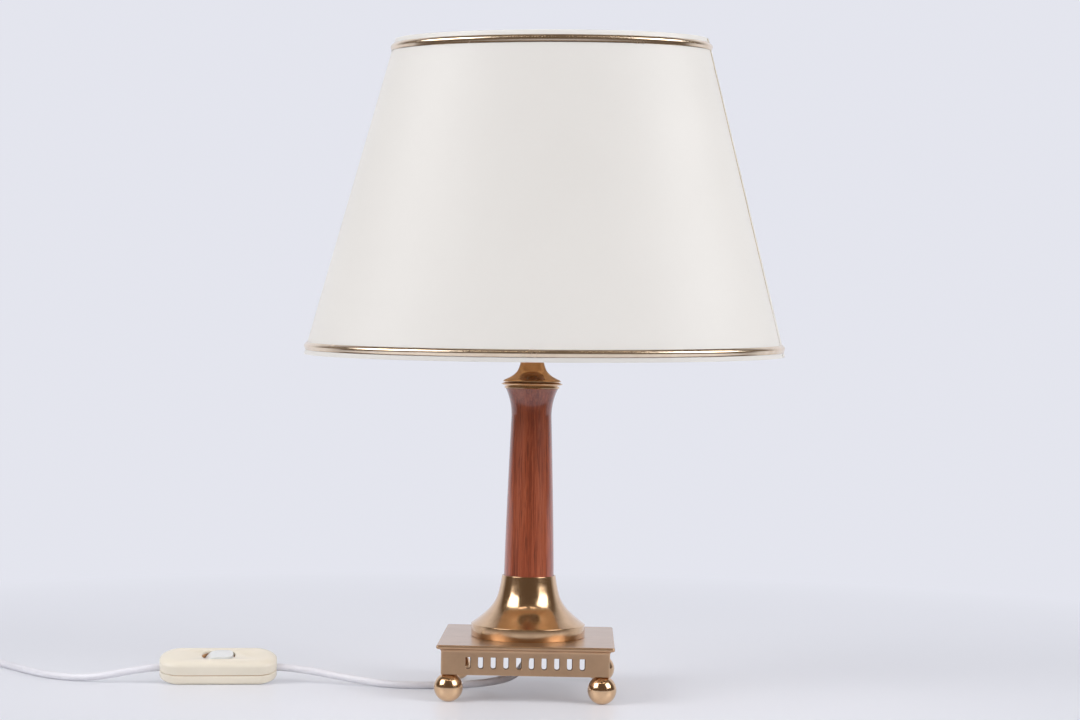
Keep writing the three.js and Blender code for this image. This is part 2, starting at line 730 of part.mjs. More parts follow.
function trim(height) {
  const inner = GAP;
  const outer = TRIM_BULGE;
  const half = TRIM_HEIGHT / 2;
  return sweptRing(height, [
    [inner, -half],
    [0.75 * outer, -0.7 * half],
    [outer, 0],
    [0.75 * outer, 0.7 * half],
    [inner, half],
  ]);
}

const wireInset = SHADE_WALL + GAP + WIRE_RADIUS;
const topWireHeight = SHADE_HEIGHT + SHADE_RIM / 2;

function wire(height) {
  return sweptRing(height, circle(WIRE_RADIUS, 6).map((p) => [p.x - wireInset, p.y]));
}

const shadeFrame = new THREE.Group();
shadeFrame.position.set(SHADE_OFFSET, 0, carrierBottom - SHADE_DROP);
shadeFrame.rotation.set(SHADE_LEAN, SHADE_TILT, SHADE_TURN, "ZXY");
shadeFrame.updateMatrix();

// The ring on the lamp holder stays level; its arms rise to the wire in the leaning top rim
// and end a gap short of it.
function shadeCarrier() {
  const ringBore = HOLDER_RADIUS + GAP;
  const ringOuter = ringBore + CARRIER_RING_WIDTH;
  const armHeight = carrierBottom + CARRIER_RING_THICK / 2;
  const ring = collar(ringBore, ringOuter, carrierBottom, carrierBottom + CARRIER_RING_THICK);
  const { x, halfWidth, halfDepth } = shadeSection(topWireHeight);
  const endInset = wireInset + WIRE_RADIUS + ARM_RADIUS + GAP;
  const arms = [];
  for (let i = 0; i < ARM_COUNT; i++) {
    const angle = (2 * Math.PI * i) / ARM_COUNT + Math.PI / ARM_COUNT;
    const direction = new THREE.Vector3(Math.cos(angle), Math.sin(angle), 0);
    const clear = HOLDER_RADIUS + GAP + RING_WIDTH + 2 * ARM_RADIUS;
    const start = direction.clone().multiplyScalar(ringOuter - ARM_RADIUS).setZ(armHeight);
    const level = direction.clone().multiplyScalar(clear).setZ(armHeight);
    const bend = direction.clone().multiplyScalar(clear + ARM_REACH).setZ(armHeight + ARM_RISE);
    const end = new THREE.Vector3(
      x + (halfWidth - endInset) * direction.x,
      (halfDepth - endInset) * direction.y,
      topWireHeight,
    ).applyMatrix4(shadeFrame.matrix);
    const shoulder = bend.clone().lerp(end, ARM_SHOULDER_SHARE);
    arms.push(tubeThrough([start, level, bend, shoulder, end], circle(ARM_RADIUS, 6)));
  }
  return join([ring, ...arms]);
}

function shade(group) {
  const top = SHADE_HEIGHT + SHADE_RIM;
  const shell = loft([
    shadeRing(-SHADE_RIM, 0),
    shadeRing(SHADE_HEIGHT / 2, 0),
    shadeRing(top, 0),
    shadeRing(top, -SHADE_WALL),
    shadeRing(SHADE_HEIGHT / 2, -SHADE_WALL),
    shadeRing(-SHADE_RIM, -SHADE_WALL),
  ], true);
  group.add(shadeFrame);
  place(shadeFrame, "shade_shell", shell, shadeLaminate);
  place(shadeFrame, "shade_trim_bottom", trim(0), paleGold);
  place(shadeFrame, "shade_trim_top", trim(SHADE_HEIGHT), paleGold);
  place(shadeFrame, "shade_wire_bottom", wire(-SHADE_RIM / 2), steel);
  place(shadeFrame, "shade_wire_top", wire(topWireHeight), steel);
  place(group, "shade_carrier", shadeCarrier(), steel);
}

// In-line switch, about its own centre with X along the cord

const switchFrame = new THREE.Group();
switchFrame.position.copy(SWITCH_CENTRE);
switchFrame.rotation.set(SWITCH_ROLL, 0, SWITCH_HEADING, "ZXY");
switchFrame.updateMatrix();

const partingHeight = 0;
const switchBottom = partingHeight - SWITCH_PARTING;
const switchTop = switchBottom + SWITCH_HEIGHT;
const pivotHeight = switchTop - ROCKER_PIVOT_DEPTH;

// Outline of the switch at a height. Its ends draw in faster than its sides.
function switchRing(inset, z) {
  const length = SWITCH_LENGTH - 2 * SWITCH_END_DRAW * inset;
  return raised(roundedRectangle(length, SWITCH_WIDTH - 2 * inset, SWITCH_CORNER - inset, 4), z);
}

// Rounded edge as [inset, height] pairs between a side and a flat face.
function roundedEdge(radius, face, direction) {
  const steps = 4;
  return Array.from({ length: steps + 1 }, (_, i) => {
    const angle = (i / steps) * (Math.PI / 2);
    return [radius * (1 - Math.cos(angle)), face - direction * radius * (1 - Math.sin(angle))];
  });
}

function upperShell() {
  const edge = roundedEdge(SWITCH_TOP_EDGE, switchTop, 1);
  const outside = loft([
    switchRing(0, partingHeight + GAP),
    ...edge.map(([inset, z]) => switchRing(inset, z)),
  ]);
  const inside = loft([
    switchRing(SWITCH_WALL, partingHeight - 1),
    switchRing(SWITCH_WALL, switchTop - SWITCH_TOP_EDGE),
    switchRing(SWITCH_TOP_EDGE, switchTop - SWITCH_WALL),
  ]);
  const ear = (side) => {
    const atY = side * (ROCKER_WIDTH / 2 + ROCKER_CLEARANCE + EAR_THICK / 2);
    const bottom = pivotHeight - 2 * PIN_RADIUS;
    const top = switchTop - SWITCH_WALL / 2;
    return block(EAR_WIDTH, EAR_THICK, top - bottom, 0, atY, (top + bottom) / 2);
  };
  const boss = (side) => prism(circle(BOSS_RADIUS, 12), partingHeight + GAP, switchTop - SWITCH_WALL / 2)
    .translate((side * SWITCH_SCREW_SPACING) / 2, 0, 0);
  const screwHole = (side) =>
    prism(circle(SWITCH_SCREW_RADIUS + GAP, 10), partingHeight - 1, switchBottom + SWITCH_SCREW_LENGTH + 2)
      .translate((side * SWITCH_SCREW_SPACING) / 2, 0, 0);
  const opening = roundedRectangle(
    ROCKER_LENGTH + 2 * ROCKER_CLEARANCE,
    ROCKER_WIDTH + 2 * ROCKER_CLEARANCE,
    ROCKER_WIDTH / 2,
    4,
  );
  const pinHole = prism(circle(PIN_RADIUS + GAP, 10), -SWITCH_WIDTH / 3, SWITCH_WIDTH / 3)
    .rotateX(Math.PI / 2)
    .translate(0, 0, pivotHeight);
  const shell = cut(outside, [inside]);
  const withEars = join([shell, ear(-1), ear(1), boss(-1), boss(1)]);
  return cut(withEars, [
    prism(opening, switchTop - SWITCH_WALL - 2, switchTop + 1),
    pinHole,
    screwHole(-1),
    screwHole(1),
    cordHoles(),
  ]);
}

function lowerShell() {
  const edge = roundedEdge(SWITCH_BOTTOM_EDGE, switchBottom, -1).reverse();
  const outside = loft([...edge.map(([inset, z]) => switchRing(inset, z)), switchRing(0, partingHeight)]);
  const inside = loft([
    switchRing(SWITCH_BOTTOM_EDGE, switchBottom + SWITCH_WALL),
    switchRing(SWITCH_WALL, switchBottom + SWITCH_BOTTOM_EDGE),
    switchRing(SWITCH_WALL, partingHeight + 1),
  ]);
  const hole = (side, radius, top) => prism(circle(radius, 10), switchBottom - 1, top)
    .translate((side * SWITCH_SCREW_SPACING) / 2, 0, 0);
  const headTop = switchBottom + SWITCH_SCREW_HEAD_HEIGHT;
  return cut(outside, [
    inside,
    hole(-1, SWITCH_SCREW_RADIUS + GAP, partingHeight),
    hole(1, SWITCH_SCREW_RADIUS + GAP, partingHeight),
    hole(-1, SWITCH_SCREW_HEAD_RADIUS + GAP, headTop),
    hole(1, SWITCH_SCREW_HEAD_RADIUS + GAP, headTop),
    cordHoles(),
  ]);
}

const cordHoles = () =>
  prism(circle(CORD_RADIUS + GAP, 12), -SWITCH_LENGTH, SWITCH_LENGTH).rotateY(Math.PI / 2);

// The rocker's ends lie on an arc about the pin, so that they clear the opening as it tips. Its
// top is a low roof, and the half that stands up lies level with the switch.
function rocker() {
  const reach = ROCKER_LENGTH / 2;
  const side = [];
  const endSteps = 4;
  const low = -Math.asin(ROCKER_DEPTH / reach);
  const high = Math.asin((ROCKER_CREST - reach * Math.tan(ROCKER_TILT)) / reach);
  for (let i = 0; i <= endSteps; i++) {
    const angle = low + ((high - low) * i) / endSteps;
    side.push(new THREE.Vector2(reach * Math.cos(angle), reach * Math.sin(angle)));
  }
  side.push(new THREE.Vector2(0, ROCKER_CREST));
  for (let i = endSteps; i >= 0; i--) side.push(new THREE.Vector2(-side[i].x, side[i].y));
  const profile = prism(side, -SWITCH_WIDTH / 2, SWITCH_WIDTH / 2).rotateX(Math.PI / 2);
  const plan = prism(
    roundedRectangle(ROCKER_LENGTH, ROCKER_WIDTH, ROCKER_WIDTH / 2 - ROCKER_CLEARANCE, 4),
    -ROCKER_LENGTH,
    ROCKER_LENGTH,
  );
  const hole = prism(circle(PIN_RADIUS + GAP, 10), -SWITCH_WIDTH, SWITCH_WIDTH).rotateX(Math.PI / 2);
  const body = solid(profile).intersect(solid(plan)).subtract(solid(hole));
  return geometryOf(body).rotateY(-ROCKER_TILT);
}

function cordClamp() {
  const half = CORD_RADIUS + GAP + CLAMP_WALL;
  const foot = switchBottom + SWITCH_WALL + GAP;
  const bridge = block(CLAMP_THICK, 2 * half, half - foot, 0, 0, (half + foot) / 2);
  const notch = join([
    prism(circle(CORD_RADIUS + GAP, 12), -CLAMP_THICK, CLAMP_THICK).rotateY(Math.PI / 2),
    block(2 * CLAMP_THICK, 2 * (CORD_RADIUS + GAP), -foot + 1, 0, 0, (foot - 1) / 2),
  ]);
  return cut(bridge, [notch]);
}

function switchScrew() {
  const head = switchBottom + SWITCH_SCREW_HEAD_HEIGHT - GAP;
  const tip = switchBottom + SWITCH_SCREW_LENGTH;
  return turned([
    [0, switchBottom],
    [SWITCH_SCREW_HEAD_RADIUS, switchBottom],
    [SWITCH_SCREW_HEAD_RADIUS, head],
    [SWITCH_SCREW_RADIUS, head],
    [SWITCH_SCREW_RADIUS, tip],
    [0, tip],
  ], 10);
}

function inlineSwitch(group) {
  group.add(switchFrame);
  const pinLength = ROCKER_WIDTH + 2 * (ROCKER_CLEARANCE + EAR_THICK);
  const pin = prism(circle(PIN_RADIUS, 10), -pinLength / 2, pinLength / 2).rotateX(Math.PI / 2);
  place(switchFrame, "switch_upper_shell", upperShell(), ivoryPlastic);
  place(switchFrame, "switch_lower_shell", lowerShell(), ivoryPlastic);
  place(switchFrame, "switch_rocker", rocker(), whitePlastic, 0, 0, pivotHeight);
  place(switchFrame, "rocker_pin", pin, steel, 0, 0, pivotHeight);
  const floor = switchBottom + SWITCH_WALL + GAP;
  [-1, 1].forEach((side) => {
    const name = side < 0 ? "left" : "right";
    const contact = block(FIXED_CONTACT_SIZE, FIXED_CONTACT_SIZE, FIXED_CONTACT_HEIGHT);
    const contactHeight = floor + FIXED_CONTACT_HEIGHT / 2;
    place(switchFrame, `fixed_contact_${name}`, contact, polishedBrass,
      (side * FIXED_CONTACT_SPACING) / 2, 0, contactHeight);
    place(switchFrame, `cord_clamp_${name}`, cordClamp(), blackPlastic, (side * CLAMP_SPACING) / 2);
    place(switchFrame, `switch_screw_${name}`, switchScrew(), steel, (side * SWITCH_SCREW_SPACING) / 2);
  });
}

// Cord: a hand-laid route from the base to the switch, and on to the coil and the plug

const cordExit = new THREE.Vector3(0, 0, bushBottom - GAP);
const onFloor = CORD_RADIUS;

const routeToSwitch = [
  [-0.2, 0.04, 27],
  [-1.1, 0.2, 23.1],
  [-3, 0.6, 18.7],
  [-6.1, 1.2, 14.5],
  [-9.9, 2, 11.2],
  [-14.8, 3, 8.7],
  [-21.6, 4.5, 6.6],
  [-28.6, 5.9, 5],
  [-36.3, 6.9, 3.8],
  [-45, 6.8, 3],
  [-55, 5, onFloor],
  [-69, 1, onFloor],
  [-86, -0.5, onFloor],
  [-103.5, 1.8, 3.1],
  [-119, 6.4, 4.1],
  [-134.5, 11.7, 5.7],
  [-150, 15.7, 7.7],
  [-166, 18.3, 9.7],
];

const routeToCoil = [
  [-289.5, 1.8, 8.8],
  [-299.5, 0.8, 7],
  [-309.5, 0.8, 5.2],
  [-320.5, 2, 3.7],
  [-332, 5.2, onFloor + 0.1],
  [-344, 10.2, onFloor],
  [-357, 18.4, onFloor],
  [-370, 31, onFloor],
  [-386, 49, onFloor],
  [-405, 70, onFloor],
];

const toVectors = (route) => route.map(([x, y, z]) => new THREE.Vector3(x, y, z));

// Point at a distance along the switch's own length, in the lamp's frame.
const alongSwitch = (distance) => new THREE.Vector3(distance, 0, 0).applyMatrix4(switchFrame.matrix);

// Centre line of the coil: inwards on the floor, up in the half turn where it reverses, and
// outwards in the layer on top.
function coilPoint(turn) {
  const middle = COIL_TURNS;
  const radius = COIL_OUTER_RADIUS - COIL_PITCH * (middle - Math.abs(turn - middle));
  const climb = THREE.MathUtils.smoothstep(turn, middle - 0.25, middle + 0.25);
  const angle = COIL_START_ANGLE + 2 * Math.PI * turn;
  return new THREE.Vector3(
    COIL_CENTRE.x + radius * Math.cos(angle),
    COIL_CENTRE.y + radius * Math.sin(angle),
    CORD_RADIUS + COIL_PITCH * climb,
  );
}

const coilHeading = new THREE.Vector3(-Math.sin(COIL_START_ANGLE), Math.cos(COIL_START_ANGLE), 0);
const coilStart = coilPoint(0).addScaledVector(coilHeading, -2 * CORD_RADIUS);
const coilEnd = coilPoint(2 * COIL_TURNS).addScaledVector(coilHeading, 2 * CORD_RADIUS);

// One unbroken tube over the coil's centre line, with a straight diameter at each end.
function coil() {
  const count = 2 * COIL_TURNS * COIL_STEPS_PER_TURN;
  const line = [coilStart];
  for (let i = 0; i <= count; i++) line.push(coilPoint(i / COIL_STEPS_PER_TURN));
  line.push(coilEnd);
  printLeastGap(line.slice(1, -1));
  return tubeThrough(line, circle(CORD_RADIUS, COIL_SIDES));
}

// Least clear distance between the tube's points that lie more than half a turn apart.
function printLeastGap(line) {
  let least = Infinity;
  const apart = COIL_STEPS_PER_TURN / 2;
  for (let i = 0; i < line.length; i++) {
    for (let j = i + apart; j < line.length; j++) {
      least = Math.min(least, line[i].distanceTo(line[j]) - 2 * CORD_RADIUS);
    }
  }
  console.log(`coil: least gap to itself ${least.toFixed(2)} mm`);
}

const plugFrame = new THREE.Group();
plugFrame.position.copy(coilEnd).addScaledVector(coilHeading, LEAD_TO_BOOT).setZ(PLUG_THICK / 2);
plugFrame.rotation.set(0, 0, COIL_START_ANGLE + Math.PI / 2);
plugFrame.updateMatrix();

const alongPlug = (distance) => new THREE.Vector3(distance, 0, 0).applyMatrix4(plugFrame.matrix);

// Tube along a smooth curve through the points.
function cordTube(points) {
  const length = new THREE.CatmullRomCurve3(points, false, "centripetal").getLength();
  return bar(points, CORD_RADIUS, CORD_SIDES, Math.ceil(length / CORD_STEP));
}

function cords(group) {
  const diameter = 2 * CORD_RADIUS;
  const insideSwitch = SWITCH_LENGTH / 2 - CORD_INSIDE_SWITCH;
  const coilMouth = coilStart.clone().addScaledVector(coilHeading, -GAP);
  const beforeCoil = coilMouth.clone().addScaledVector(coilHeading, -diameter);
  const coilTail = coilEnd.clone().addScaledVector(coilHeading, GAP);
  const afterCoil = coilTail.clone().addScaledVector(coilHeading, diameter);
  const outsideSwitch = SWITCH_LENGTH / 2 + CORD_RADIUS;
  const toSwitch = cordTube([
    cordExit,
    ...toVectors(routeToSwitch),
    alongSwitch(outsideSwitch),
    alongSwitch(insideSwitch),
  ]);
  const toCoil = cordTube([
    alongSwitch(-insideSwitch),
    alongSwitch(-outsideSwitch),
    ...toVectors(routeToCoil),
    beforeCoil,
    coilMouth,
  ]);
  const toPlug = cordTube([coilTail, afterCoil, alongPlug(0), alongPlug(BOOT_LENGTH - GAP)]);
  place(group, "cord_base_to_switch", toSwitch, whiteCord);
  place(group, "cord_switch_to_coil", toCoil, whiteCord);
  place(group, "cord_coil", coil(), whiteCord);
  place(group, "cord_coil_to_plug", toPlug, whiteCord);
}

// Flat two-pin plug with its tapered boot, along its own X from the boot to the pins

function plug(group) {
  group.add(plugFrame);
  const pinStart = BOOT_LENGTH + PLUG_LENGTH - PLUG_PIN_ROOT;
  const sections = [
    [0, PLUG_TAIL_WIDTH, PLUG_TAIL_WIDTH],
    [0.25, PLUG_TAIL_WIDTH, PLUG_TAIL_WIDTH],
    [0.6, PLUG_WAIST_WIDTH, PLUG_THICK],
    [0.76, PLUG_WAIST_WIDTH, PLUG_THICK],
    [0.9, PLUG_FACE_WIDTH, PLUG_THICK],
    [1, PLUG_FACE_WIDTH, PLUG_THICK],
  ];
  const rings = sections.map(([share, width, thick]) => {
    const x = BOOT_LENGTH + share * PLUG_LENGTH;
    return roundedRectangle(width, thick, PLUG_EDGE, 3).map((p) => new THREE.Vector3(x, p.x, p.y));
  });
  const sockets = [-1, 1].map((side) =>
    prism(circle(PLUG_PIN_RADIUS + GAP, 10), pinStart - GAP, pinStart + 2 * PLUG_PIN_ROOT)
      .rotateY(Math.PI / 2)
      .translate(0, (side * PLUG_PIN_SPACING) / 2, 0));
  const boot = turnedRing([
    [CORD_RADIUS + GAP, 0],
    [BOOT_TIP_RADIUS, 0],
    [BOOT_RADIUS, BOOT_LENGTH - GAP],
    [CORD_RADIUS + GAP, BOOT_LENGTH - GAP],
  ], 14).rotateY(Math.PI / 2);
  const pinEnd = PLUG_PIN_ROOT + PLUG_PIN_LENGTH;
  const pin = turned([
    [0, 0],
    [PLUG_PIN_RADIUS, 0],
    [PLUG_PIN_RADIUS, pinEnd - PLUG_PIN_RADIUS / 2],
    [PLUG_PIN_RADIUS / 2, pinEnd],
    [0, pinEnd],
  ], 10).rotateY(Math.PI / 2);
  place(plugFrame, "plug_body", cut(loft(rings), sockets), whitePlastic);
  place(plugFrame, "plug_boot", boot, whitePlastic);
  place(plugFrame, "plug_pin_left", pin, steel, pinStart, PLUG_PIN_SPACING / 2);
  place(plugFrame, "plug_pin_right", pin.clone(), steel, pinStart, -PLUG_PIN_SPACING / 2);
}

// The part's origin is on the floor under the middle of the shade, and the column stands
// beside it, because the shade sits off the column's axis.
const lamp = new THREE.Group();
lamp.position.x = -SHADE_OFFSET;
base(lamp);
clampingPieces(lamp);
column(lamp);
holder(lamp);
bulb(lamp);
shade(lamp);
inlineSwitch(lamp);
cords(lamp);
plug(lamp);

const part = new THREE.Group();
part.add(lamp);

export default part;
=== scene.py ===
"""Table lamp with an oval shade, a wooden column and a pierced brass base.

The shapes are written in millimetres about the column's axis and are scaled and
shifted into the shared frame as each mesh is made.
"""
import json
from math import asin, cos, pi, radians, sin, sqrt, tan

import bmesh
import bpy
from mathutils import Matrix, Quaternion, Vector


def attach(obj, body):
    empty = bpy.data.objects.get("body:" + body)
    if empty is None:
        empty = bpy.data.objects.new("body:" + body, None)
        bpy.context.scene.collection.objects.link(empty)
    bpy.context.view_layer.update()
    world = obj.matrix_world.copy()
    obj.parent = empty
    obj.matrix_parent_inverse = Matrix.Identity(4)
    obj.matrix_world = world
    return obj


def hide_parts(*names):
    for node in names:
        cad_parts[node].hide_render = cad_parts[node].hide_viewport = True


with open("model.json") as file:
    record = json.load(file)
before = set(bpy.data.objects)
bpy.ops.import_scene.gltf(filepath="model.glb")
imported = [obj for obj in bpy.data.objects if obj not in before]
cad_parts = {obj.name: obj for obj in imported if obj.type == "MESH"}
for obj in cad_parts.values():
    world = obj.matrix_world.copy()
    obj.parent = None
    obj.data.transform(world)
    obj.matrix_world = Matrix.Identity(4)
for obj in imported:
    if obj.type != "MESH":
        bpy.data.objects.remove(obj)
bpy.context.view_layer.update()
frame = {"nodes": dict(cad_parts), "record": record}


def translation(x, y, z):
    return Matrix.Translation((x, y, z))


def rotation(degrees, axis):
    return Matrix.Rotation(radians(degrees), 4, axis)


MM = 0.001
SHADE_OFFSET = 7.7
COLUMN = translation(-SHADE_OFFSET * MM, 0, 0) @ Matrix.Scale(MM, 4)

# Base
BALL_RADIUS = 10.2
BALL_REST_RADIUS = 2.6
BALL_SEAT_RADIUS = 4
BALL_CENTRE = 9.863
BALL_PLACE = 53.9
SKIRT_HALF = 59.2
SKIRT_WALL = 2
SKIRT_BOTTOM = 19.246
PLATE_BOTTOM = 37.396
PLATE_TOP = 40.196
PLATE_HALF = 62.5
COVE_RADIUS = 2.4
SLOT_COUNT = 10
SLOT_PITCH = 8.9
SLOT_WIDTH = 4
SLOT_HEIGHT = 8.3
SLOT_MIDDLE = SKIRT_BOTTOM + 8.4
LUG_SIZE = 13
LUG_TOP = SKIRT_BOTTOM + 2
CORNERS = {"front_left": (-1, -1), "front_right": (1, -1), "back_right": (1, 1), "back_left": (-1, 1)}

# Stack on the tube
TUBE_RADIUS = 5
TUBE_BORE = 5.3
TUBE_BOTTOM = 31.896
TUBE_TOP = 254.096
NUT_TOP = 35.896
NUT_THICK = 3
NUT_ACROSS = 17
WASHER_RADIUS = 20
LOCKNUT_ACROSS = 14
BUSH_BOTTOM = 30.696
BELL_RADIUS = 41.3
BELL_FLANGE = 8.9
BELL_HEIGHT = 44.2
WOOD_BOTTOM = 81.996
WOOD_TOP = 219.996
WOOD_FLARE = 20
WOOD_FOOT_RADIUS = 18.2
WOOD_NECK_RADIUS = 14.65
WOOD_TOP_RADIUS = 19.1
CAP_TOP = 240.196
HOLDER_BOTTOM = 244.196
SLEEVE_BOTTOM = 262.196
SLEEVE_TOP = 302.196
HOLDER_RADIUS = 19.2
CORE_BOTTOM = 258.696
CORE_TOP = 270.696
RING_BOTTOM = 279.196
BULB_BOTTOM = 273.996
BULB_CAP_TOP = 299.696
BULB_GLOBE = 348.996
BULB_RADIUS = 30

# Shade, with its width and its depth at the foot and at the top
SHADE_HEIGHT = 215.9
SHADE_WIDE = (346.4, 229.6)
SHADE_DEEP = (214.8, 142.4)
SHADE_RIM = 6
SHADE_SKEW = 4.6
SHADE_STEPS = 192
SHADE = translation(SHADE_OFFSET, 0, 250.596) @ (
    rotation(-3.2, "Z") @ rotation(3.3, "X")
    @ rotation(-0.4, "Y"))

# In-line switch, cord, coil and plug
SWITCH_LENGTH = 85.3
SWITCH_WIDTH = 29
SWITCH_CORNER = 13.5
SWITCH_TOP = 10.2
SWITCH_BOTTOM = -7.8
SWITCH_TOP_EDGE = 4
SWITCH_SCREW_REACH = 26
PIVOT = 5.2
ROCKER_TILT = 11
SWITCH = translation(-227.2, 11, 11.2) @ (
    rotation(8.65, "Z") @ rotation(18.5, "X"))
CORD_RADIUS = 2.75
CORD_HOLE = 3.15
COIL_CENTRE = (-462.3, 72.2)
COIL_RADIUS = 41
COIL_PITCH = 6
COIL_TURNS = 3
COIL_START = radians(42)
PLUG_THICK = 13.7
PLUG_LENGTH = 35
BOOT_LENGTH = 22
LEAD_TO_BOOT = 20


def placed(name, data):
    """A new object in the scene."""
    obj = bpy.data.objects.new(name, data)
    bpy.context.scene.collection.objects.link(obj)
    return obj


# Camera, fitted to the photo's base plate, feet and column

def make_camera():
    data = bpy.data.cameras.new("camera")
    data.lens = 70
    data.sensor_width = 36
    data.clip_start = 0.05
    data.clip_end = 50
    camera = placed("camera", data)
    turn = rotation(1.202, "Z")
    look = rotation(90.336, "X") @ rotation(0.95, "Z")
    place = turn @ translation(0.00551, -1.5282, 0.2318) @ look
    camera.matrix_world = translation(-SHADE_OFFSET * MM, 0, 0) @ place
    bpy.context.scene.camera = camera


make_camera()


# Finishes

class Nodes:
    """The nodes of a material or of the world."""

    def __init__(self, owner):
        owner.use_nodes = True
        self.tree = owner.node_tree

    def put(self, node, **values):
        """Sets or links inputs, named with _ for a space, or as _ and their number."""
        for key, value in values.items():
            socket = node.inputs[int(key[1:]) if key[0] == "_" else key.replace("_", " ")]
            if isinstance(value, bpy.types.NodeSocket):
                self.tree.links.new(value, socket)
            else:
                socket.default_value = value

    def add(self, kind, inputs=None, **settings):
        """The outputs of a new node, its kind named without ShaderNode."""
        node = self.tree.nodes.new("ShaderNode" + kind)
        for key, value in settings.items():
            setattr(node, key, value)
        self.put(node, **(inputs or {}))
        return node.outputs

    def span(self, value, low, high, to_low=0.0, to_high=1.0):
        inputs = {"Value": value, "From_Min": low, "From_Max": high, "To_Min": to_low, "To_Max": to_high}
        return self.add("MapRange", inputs)["Result"]

    def blend(self, share, *colors):
        first, second = [(*c, 1) if isinstance(c, tuple) else c for c in colors]
        inputs = {"_0": share, "_6": first, "_7": second}
        return self.add("Mix", inputs, data_type="RGBA")[2]

    def math(self, operation, first, second=0.0):
        return self.add("Math", {"_0": first, "_1": second}, operation=operation)[0]


class Finish(Nodes):
    """A surface and the few nodes that give it its detail."""

    def __init__(self, name, color, roughness, metallic=0.0, **more):
        self.material = bpy.data.materials.new(name)
        super().__init__(self.material)
        self.surface = self.tree.nodes["Principled BSDF"]
        self.put(self.surface, Base_Color=(*color, 1), Roughness=roughness, Metallic=metallic, **more)
        self.place = self.add("TexCoord")["Object"]

    def noise(self, scale, detail, roughness, stretch=None, offset=(0, 0, 0), distortion=0.0):
        place = self.place
        if stretch:
            inputs = {"Vector": place, "Scale": stretch, "Location": offset}
            place = self.add("Mapping", inputs)[0]
        inputs = {"Vector": place, "Scale": scale, "Detail": detail, "Roughness": roughness,
                  "Distortion": distortion}
        return self.add("TexNoise", inputs)["Fac"]

    def ramp(self, value, stops):
        result = self.add("ValToRGB", {"Fac": value})["Color"]
        elements = result.node.color_ramp.elements
        while len(elements) < len(stops):
            elements.new(0.5)
        for element, (position, color) in zip(elements, stops):
            element.position = position
            element.color = (*color, 1)
        return result

    def mottle(self, pattern, low, high, color, other):
        """Goes from one colour to the other as the pattern goes from low to high."""
        self.put(self.surface, Base_Color=self.blend(self.span(pattern, low, high), color, other))

    def roughen(self, pattern, low, high, smooth, rough):
        self.put(self.surface, Roughness=self.span(pattern, low, high, smooth, rough))

    def bump(self, height, strength, distance):
        inputs = {"Height": height, "Strength": strength, "Distance": distance}
        self.put(self.surface, Normal=self.add("Bump", inputs)[0])


def polished_brass(name, color, tarnish, roughness):
    finish = Finish(name, color, roughness, 1.0, Coat_Weight=0.35, Coat_Roughness=0.11)
    smudge = finish.noise(90, 4, 0.6)
    finish.roughen(smudge, 0.3, 0.75, roughness * 0.8, roughness * 1.35)
    finish.mottle(smudge, 0.45, 0.8, color, tarnish)
    spun = finish.noise(1, 3, 0.6, (60, 60, 5200))
    finish.bump(spun, 0.05, 0.00006)
    return finish.material


def satin_brass():
    """Brushed lengthwise on each face."""
    color, dark = (0.60, 0.39, 0.235), (0.52, 0.33, 0.195)
    finish = Finish("satin_brass", color, 0.42, 1.0, Coat_Weight=0.7, Coat_Roughness=0.16)
    along_x = finish.noise(1, 5, 0.65, (22, 2400, 2400))
    along_y = finish.noise(1, 5, 0.65, (2400, 22, 2400))
    normal = finish.add("TexCoord")["Normal"]
    side = finish.add("SeparateXYZ", {"Vector": normal})["X"]
    is_side = finish.math("GREATER_THAN", finish.math("ABSOLUTE", side), 0.7)
    brushed = finish.add("Mix", {"_0": is_side, "_2": along_x, "_3": along_y})[0]
    finish.mottle(finish.noise(38, 4, 0.6), 0.35, 0.75, color, dark)
    finish.roughen(brushed, 0.2, 0.8, 0.36, 0.5)
    finish.bump(brushed, 0.16, 0.00005)
    return finish.material


def mahogany():
    finish = Finish("mahogany", (0.25, 0.048, 0.014), 0.3, Coat_Weight=1.0, Coat_Roughness=0.07)
    wander = finish.noise(16, 2, 0.5, (1, 1, 0.5))
    broad = finish.noise(1, 3, 0.55, (210, 210, 7), distortion=0.3)
    fine = finish.noise(1, 4, 0.7, (800, 800, 11))
    pores = finish.noise(1, 3, 0.6, (1400, 1400, 26), (3, 1, 2))
    tone = finish.ramp(broad, [(0.3, (0.17, 0.028, 0.009)), (0.5, (0.25, 0.045, 0.014)),
                               (0.72, (0.36, 0.08, 0.028))])
    streak = finish.span(fine, 0.46, 0.62, 0.0, 0.75)
    tone = finish.blend(streak, tone, (0.42, 0.10, 0.04))
    pore = finish.span(pores, 0.54, 0.64, 0.0, 0.6)
    tone = finish.blend(pore, tone, (0.07, 0.013, 0.005))
    tone = finish.blend(finish.span(wander, 0.3, 0.8, 0.0, 0.25), tone, (0.19, 0.036, 0.014))
    finish.put(finish.surface, Base_Color=tone)
    finish.bump(finish.math("SUBTRACT", fine, pore), 0.1, 0.0001)
    return finish.material


def seam_edge():
    """Glue that shows at the overlap's edge, less so lower down."""
    finish = Finish("seam_edge", (0.60, 0.50, 0.34), 0.55)
    height = finish.add("SeparateXYZ", {"Vector": finish.place})["Z"]
    patches = finish.math("MULTIPLY", finish.noise(60, 3, 0.6), 0.08)
    share = finish.span(finish.math("ADD", height, patches), 0.29, 0.37)
    finish.put(finish.surface, Base_Color=finish.blend(share, (0.73, 0.70, 0.65), (0.60, 0.49, 0.32)))
    return finish.material


